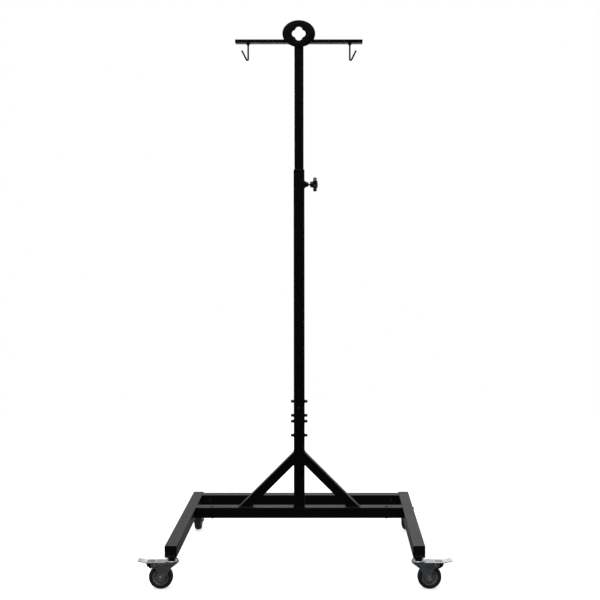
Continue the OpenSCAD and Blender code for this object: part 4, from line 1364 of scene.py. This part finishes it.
class StandStageSet(bpy.types.Operator):
    """Sets up the pale floor, the soft studio light and the camera."""
    bl_idname = "stand.stage"
    bl_label = "Stage"

    def execute(self, context):
        stage = context.scene.stand_stage
        context.scene.view_settings.view_transform = "Standard"
        floor = self.floor(context)
        lights = [
            self.light(context, "Top light", (-0.6, -0.6, 3.6), (0, 0, 0.8), 3.0, stage.key),
            self.light(context, "Back light", (0.4, 2.6, 2.4), (0, 0, 1.0), 2.6, stage.rim),
            self.light(context, "Left light", (-3.0, -0.8, 1.6), (0, 0, 0.9), 2.0, stage.fill),
            self.light(context, "Right light", (3.0, -0.4, 1.6), (0, 0, 0.9), 2.0, stage.fill * 0.6),
        ]
        self.room(context, stage)
        camera = self.camera(context, stage)
        return {"FINISHED"}

    def light(self, context, name, place, target, size, power):
        lamp = bpy.data.lights.new(name, "AREA")
        lamp.size = size
        lamp.energy = power
        item = bpy.data.objects.new(name, lamp)
        aim = Vector(target) - Vector(place)
        item.matrix_world = Matrix.Translation(place) @ aim.to_track_quat("-Z", "Y").to_matrix().to_4x4()
        context.scene.collection.objects.link(item)
        return item

    def camera(self, context, stage):
        lens = bpy.data.cameras.new("Camera")
        lens.lens = stage.lens
        lens.sensor_width = 36
        lens.shift_x, lens.shift_y = stage.shift_x, stage.shift_y
        lens.dof.use_dof = False
        camera = bpy.data.objects.new("Camera", lens)
        camera.location = stage.eye
        camera.rotation_euler = (math.pi / 2 - stage.pitch, 0, 0)
        context.scene.collection.objects.link(camera)
        context.scene.camera = camera
        return camera

    def room(self, context, stage):
        """A white room to the eye, which lights from above and behind and stays dark in front."""
        world = bpy.data.worlds.new("Room")
        context.scene.world = world
        world.use_nodes = True
        nodes, links = world.node_tree.nodes, world.node_tree.links
        nodes.clear()
        place = nodes.new("ShaderNodeTexCoord")
        split = nodes.new("ShaderNodeSeparateXYZ")
        links.new(place.outputs["Generated"], split.inputs["Vector"])

        def level(source, start, end, a, b):
            node = nodes.new("ShaderNodeMapRange")
            node.interpolation_type = "SMOOTHSTEP"
            for key, number in zip(("From Min", "From Max"), (start, end)):
                node.inputs[key].default_value = number
            for key, value in zip(("To Min", "To Max"), (a, b)):
                if isinstance(value, float):
                    node.inputs[key].default_value = value
                else:
                    links.new(value, node.inputs[key])
            links.new(source, node.inputs["Value"])
            return node.outputs["Result"]

        across = level(split.outputs["X"], -0.5, 0.5, stage.room * 0.22, stage.room * 0.10)
        behind = level(split.outputs["Y"], -0.15, 0.45, across, stage.room * 0.80)
        above = level(split.outputs["Z"], 0.45, 0.95, behind, stage.room * 1.5)
        seen = nodes.new("ShaderNodeLightPath").outputs["Is Camera Ray"]
        strength = level(seen, 0.0, 1.0, above, 1.0)
        back = nodes.new("ShaderNodeBackground")
        back.inputs["Color"].default_value = (1, 1, 1, 1)
        links.new(strength, back.inputs["Strength"])
        out = nodes.new("ShaderNodeOutputWorld")
        links.new(back.outputs["Background"], out.inputs["Surface"])

    def floor(self, context):
        """A pale floor that fades into the room, and mirrors darker in front than behind."""
        bm = bmesh.new()
        bmesh.ops.create_grid(bm, x_segments=8, y_segments=8, size=9)
        mesh = bpy.data.meshes.new("Floor")
        bm.to_mesh(mesh)
        bm.free()
        n = Nodes("Finish floor")
        colour = tuple(context.scene.stand_colours.floor)
        tone = n.blend(n.noise(0.8, 2), lighter(colour, 0.985), colour)
        n.set(Roughness=0.85, Specular_IOR_Level=0.1)
        n.link(tone, n.shader.inputs["Base Color"])
        glow = n.add("ShaderNodeEmission")
        glow.inputs["Strength"].default_value = context.scene.stand_stage.glow
        lit = n.add("ShaderNodeAddShader")
        n.link(n.shader.outputs["BSDF"], lit.inputs[0])
        n.link(glow.outputs["Emission"], lit.inputs[1])
        split = n.add("ShaderNodeSeparateXYZ")
        n.link(n.place, split.inputs["Vector"])
        mirror = n.add("ShaderNodeEmission")
        n.link(n.remap(split.outputs["Y"], -0.5, 1.0, 0.05, 0.36), mirror.inputs["Strength"])
        seen = n.add("ShaderNodeLightPath").outputs["Is Camera Ray"]
        choose = n.add("ShaderNodeMixShader")
        n.link(seen, choose.inputs["Fac"])
        n.link(mirror.outputs["Emission"], choose.inputs[1])
        n.link(lit.outputs["Shader"], choose.inputs[2])
        far = n.add("ShaderNodeVectorMath", operation="LENGTH")
        n.link(n.place, far.inputs[0])
        fade = n.remap(far.outputs["Value"], 1.1, 3.2, 0, 1)
        clear = n.add("ShaderNodeBsdfTransparent")
        blend = n.add("ShaderNodeMixShader")
        n.link(n.times(fade, seen), blend.inputs["Fac"])
        n.link(choose.outputs["Shader"], blend.inputs[1])
        n.link(clear.outputs["BSDF"], blend.inputs[2])
        n.link(blend.outputs["Shader"], n.tree.nodes["Material Output"].inputs["Surface"])
        mesh.materials.append(n.material)
        floor = bpy.data.objects.new("Floor", mesh)
        context.scene.collection.objects.link(floor)
        return floor


# ---- Panel and registration ----

OPERATORS = (
    StandTubes, StandWelds, StandEndPlugs, StandBarFasteners, StandSpliceFasteners, StandClampBoss,
    StandClampScrew, StandClampKnob, StandPostBush, StandCrossarm, StandHeadPlate, StandHooks,
    StandHookNuts, StandCasterMounts, StandForks, StandWheels, StandAxles, StandPedals, StandStageSet,
)


class StandPanel(bpy.types.Panel):
    """Sizes, colours and the button of each piece."""
    bl_idname = "VIEW3D_PT_stand"
    bl_label = "Infusion Stand"
    bl_space_type = "VIEW_3D"
    bl_region_type = "UI"
    bl_category = "Stand"

    def draw(self, context):
        scene = context.scene
        for group in (scene.stand_sizes, scene.stand_colours, scene.stand_stage):
            box = self.layout.box()
            for key in group.bl_rna.properties.keys():
                if key not in ("rna_type", "name"):
                    box.prop(group, key)
        for operator in OPERATORS:
            self.layout.operator(operator.bl_idname)


GROUPS = {"stand_sizes": StandSizes, "stand_colours": StandColours, "stand_stage": StandStage}


def register():
    for cls in (*GROUPS.values(), *OPERATORS, StandPanel):
        bpy.utils.register_class(cls)
    for name, group in GROUPS.items():
        setattr(bpy.types.Scene, name, PointerProperty(type=group))


def unregister():
    for name in GROUPS:
        delattr(bpy.types.Scene, name)
    for cls in reversed((*GROUPS.values(), *OPERATORS, StandPanel)):
        bpy.utils.unregister_class(cls)


def main():
    register()
    for operator in OPERATORS:
        family, action = operator.bl_idname.split(".")
        getattr(getattr(bpy.ops, family), action)()


if __name__ == "__main__":
    main()
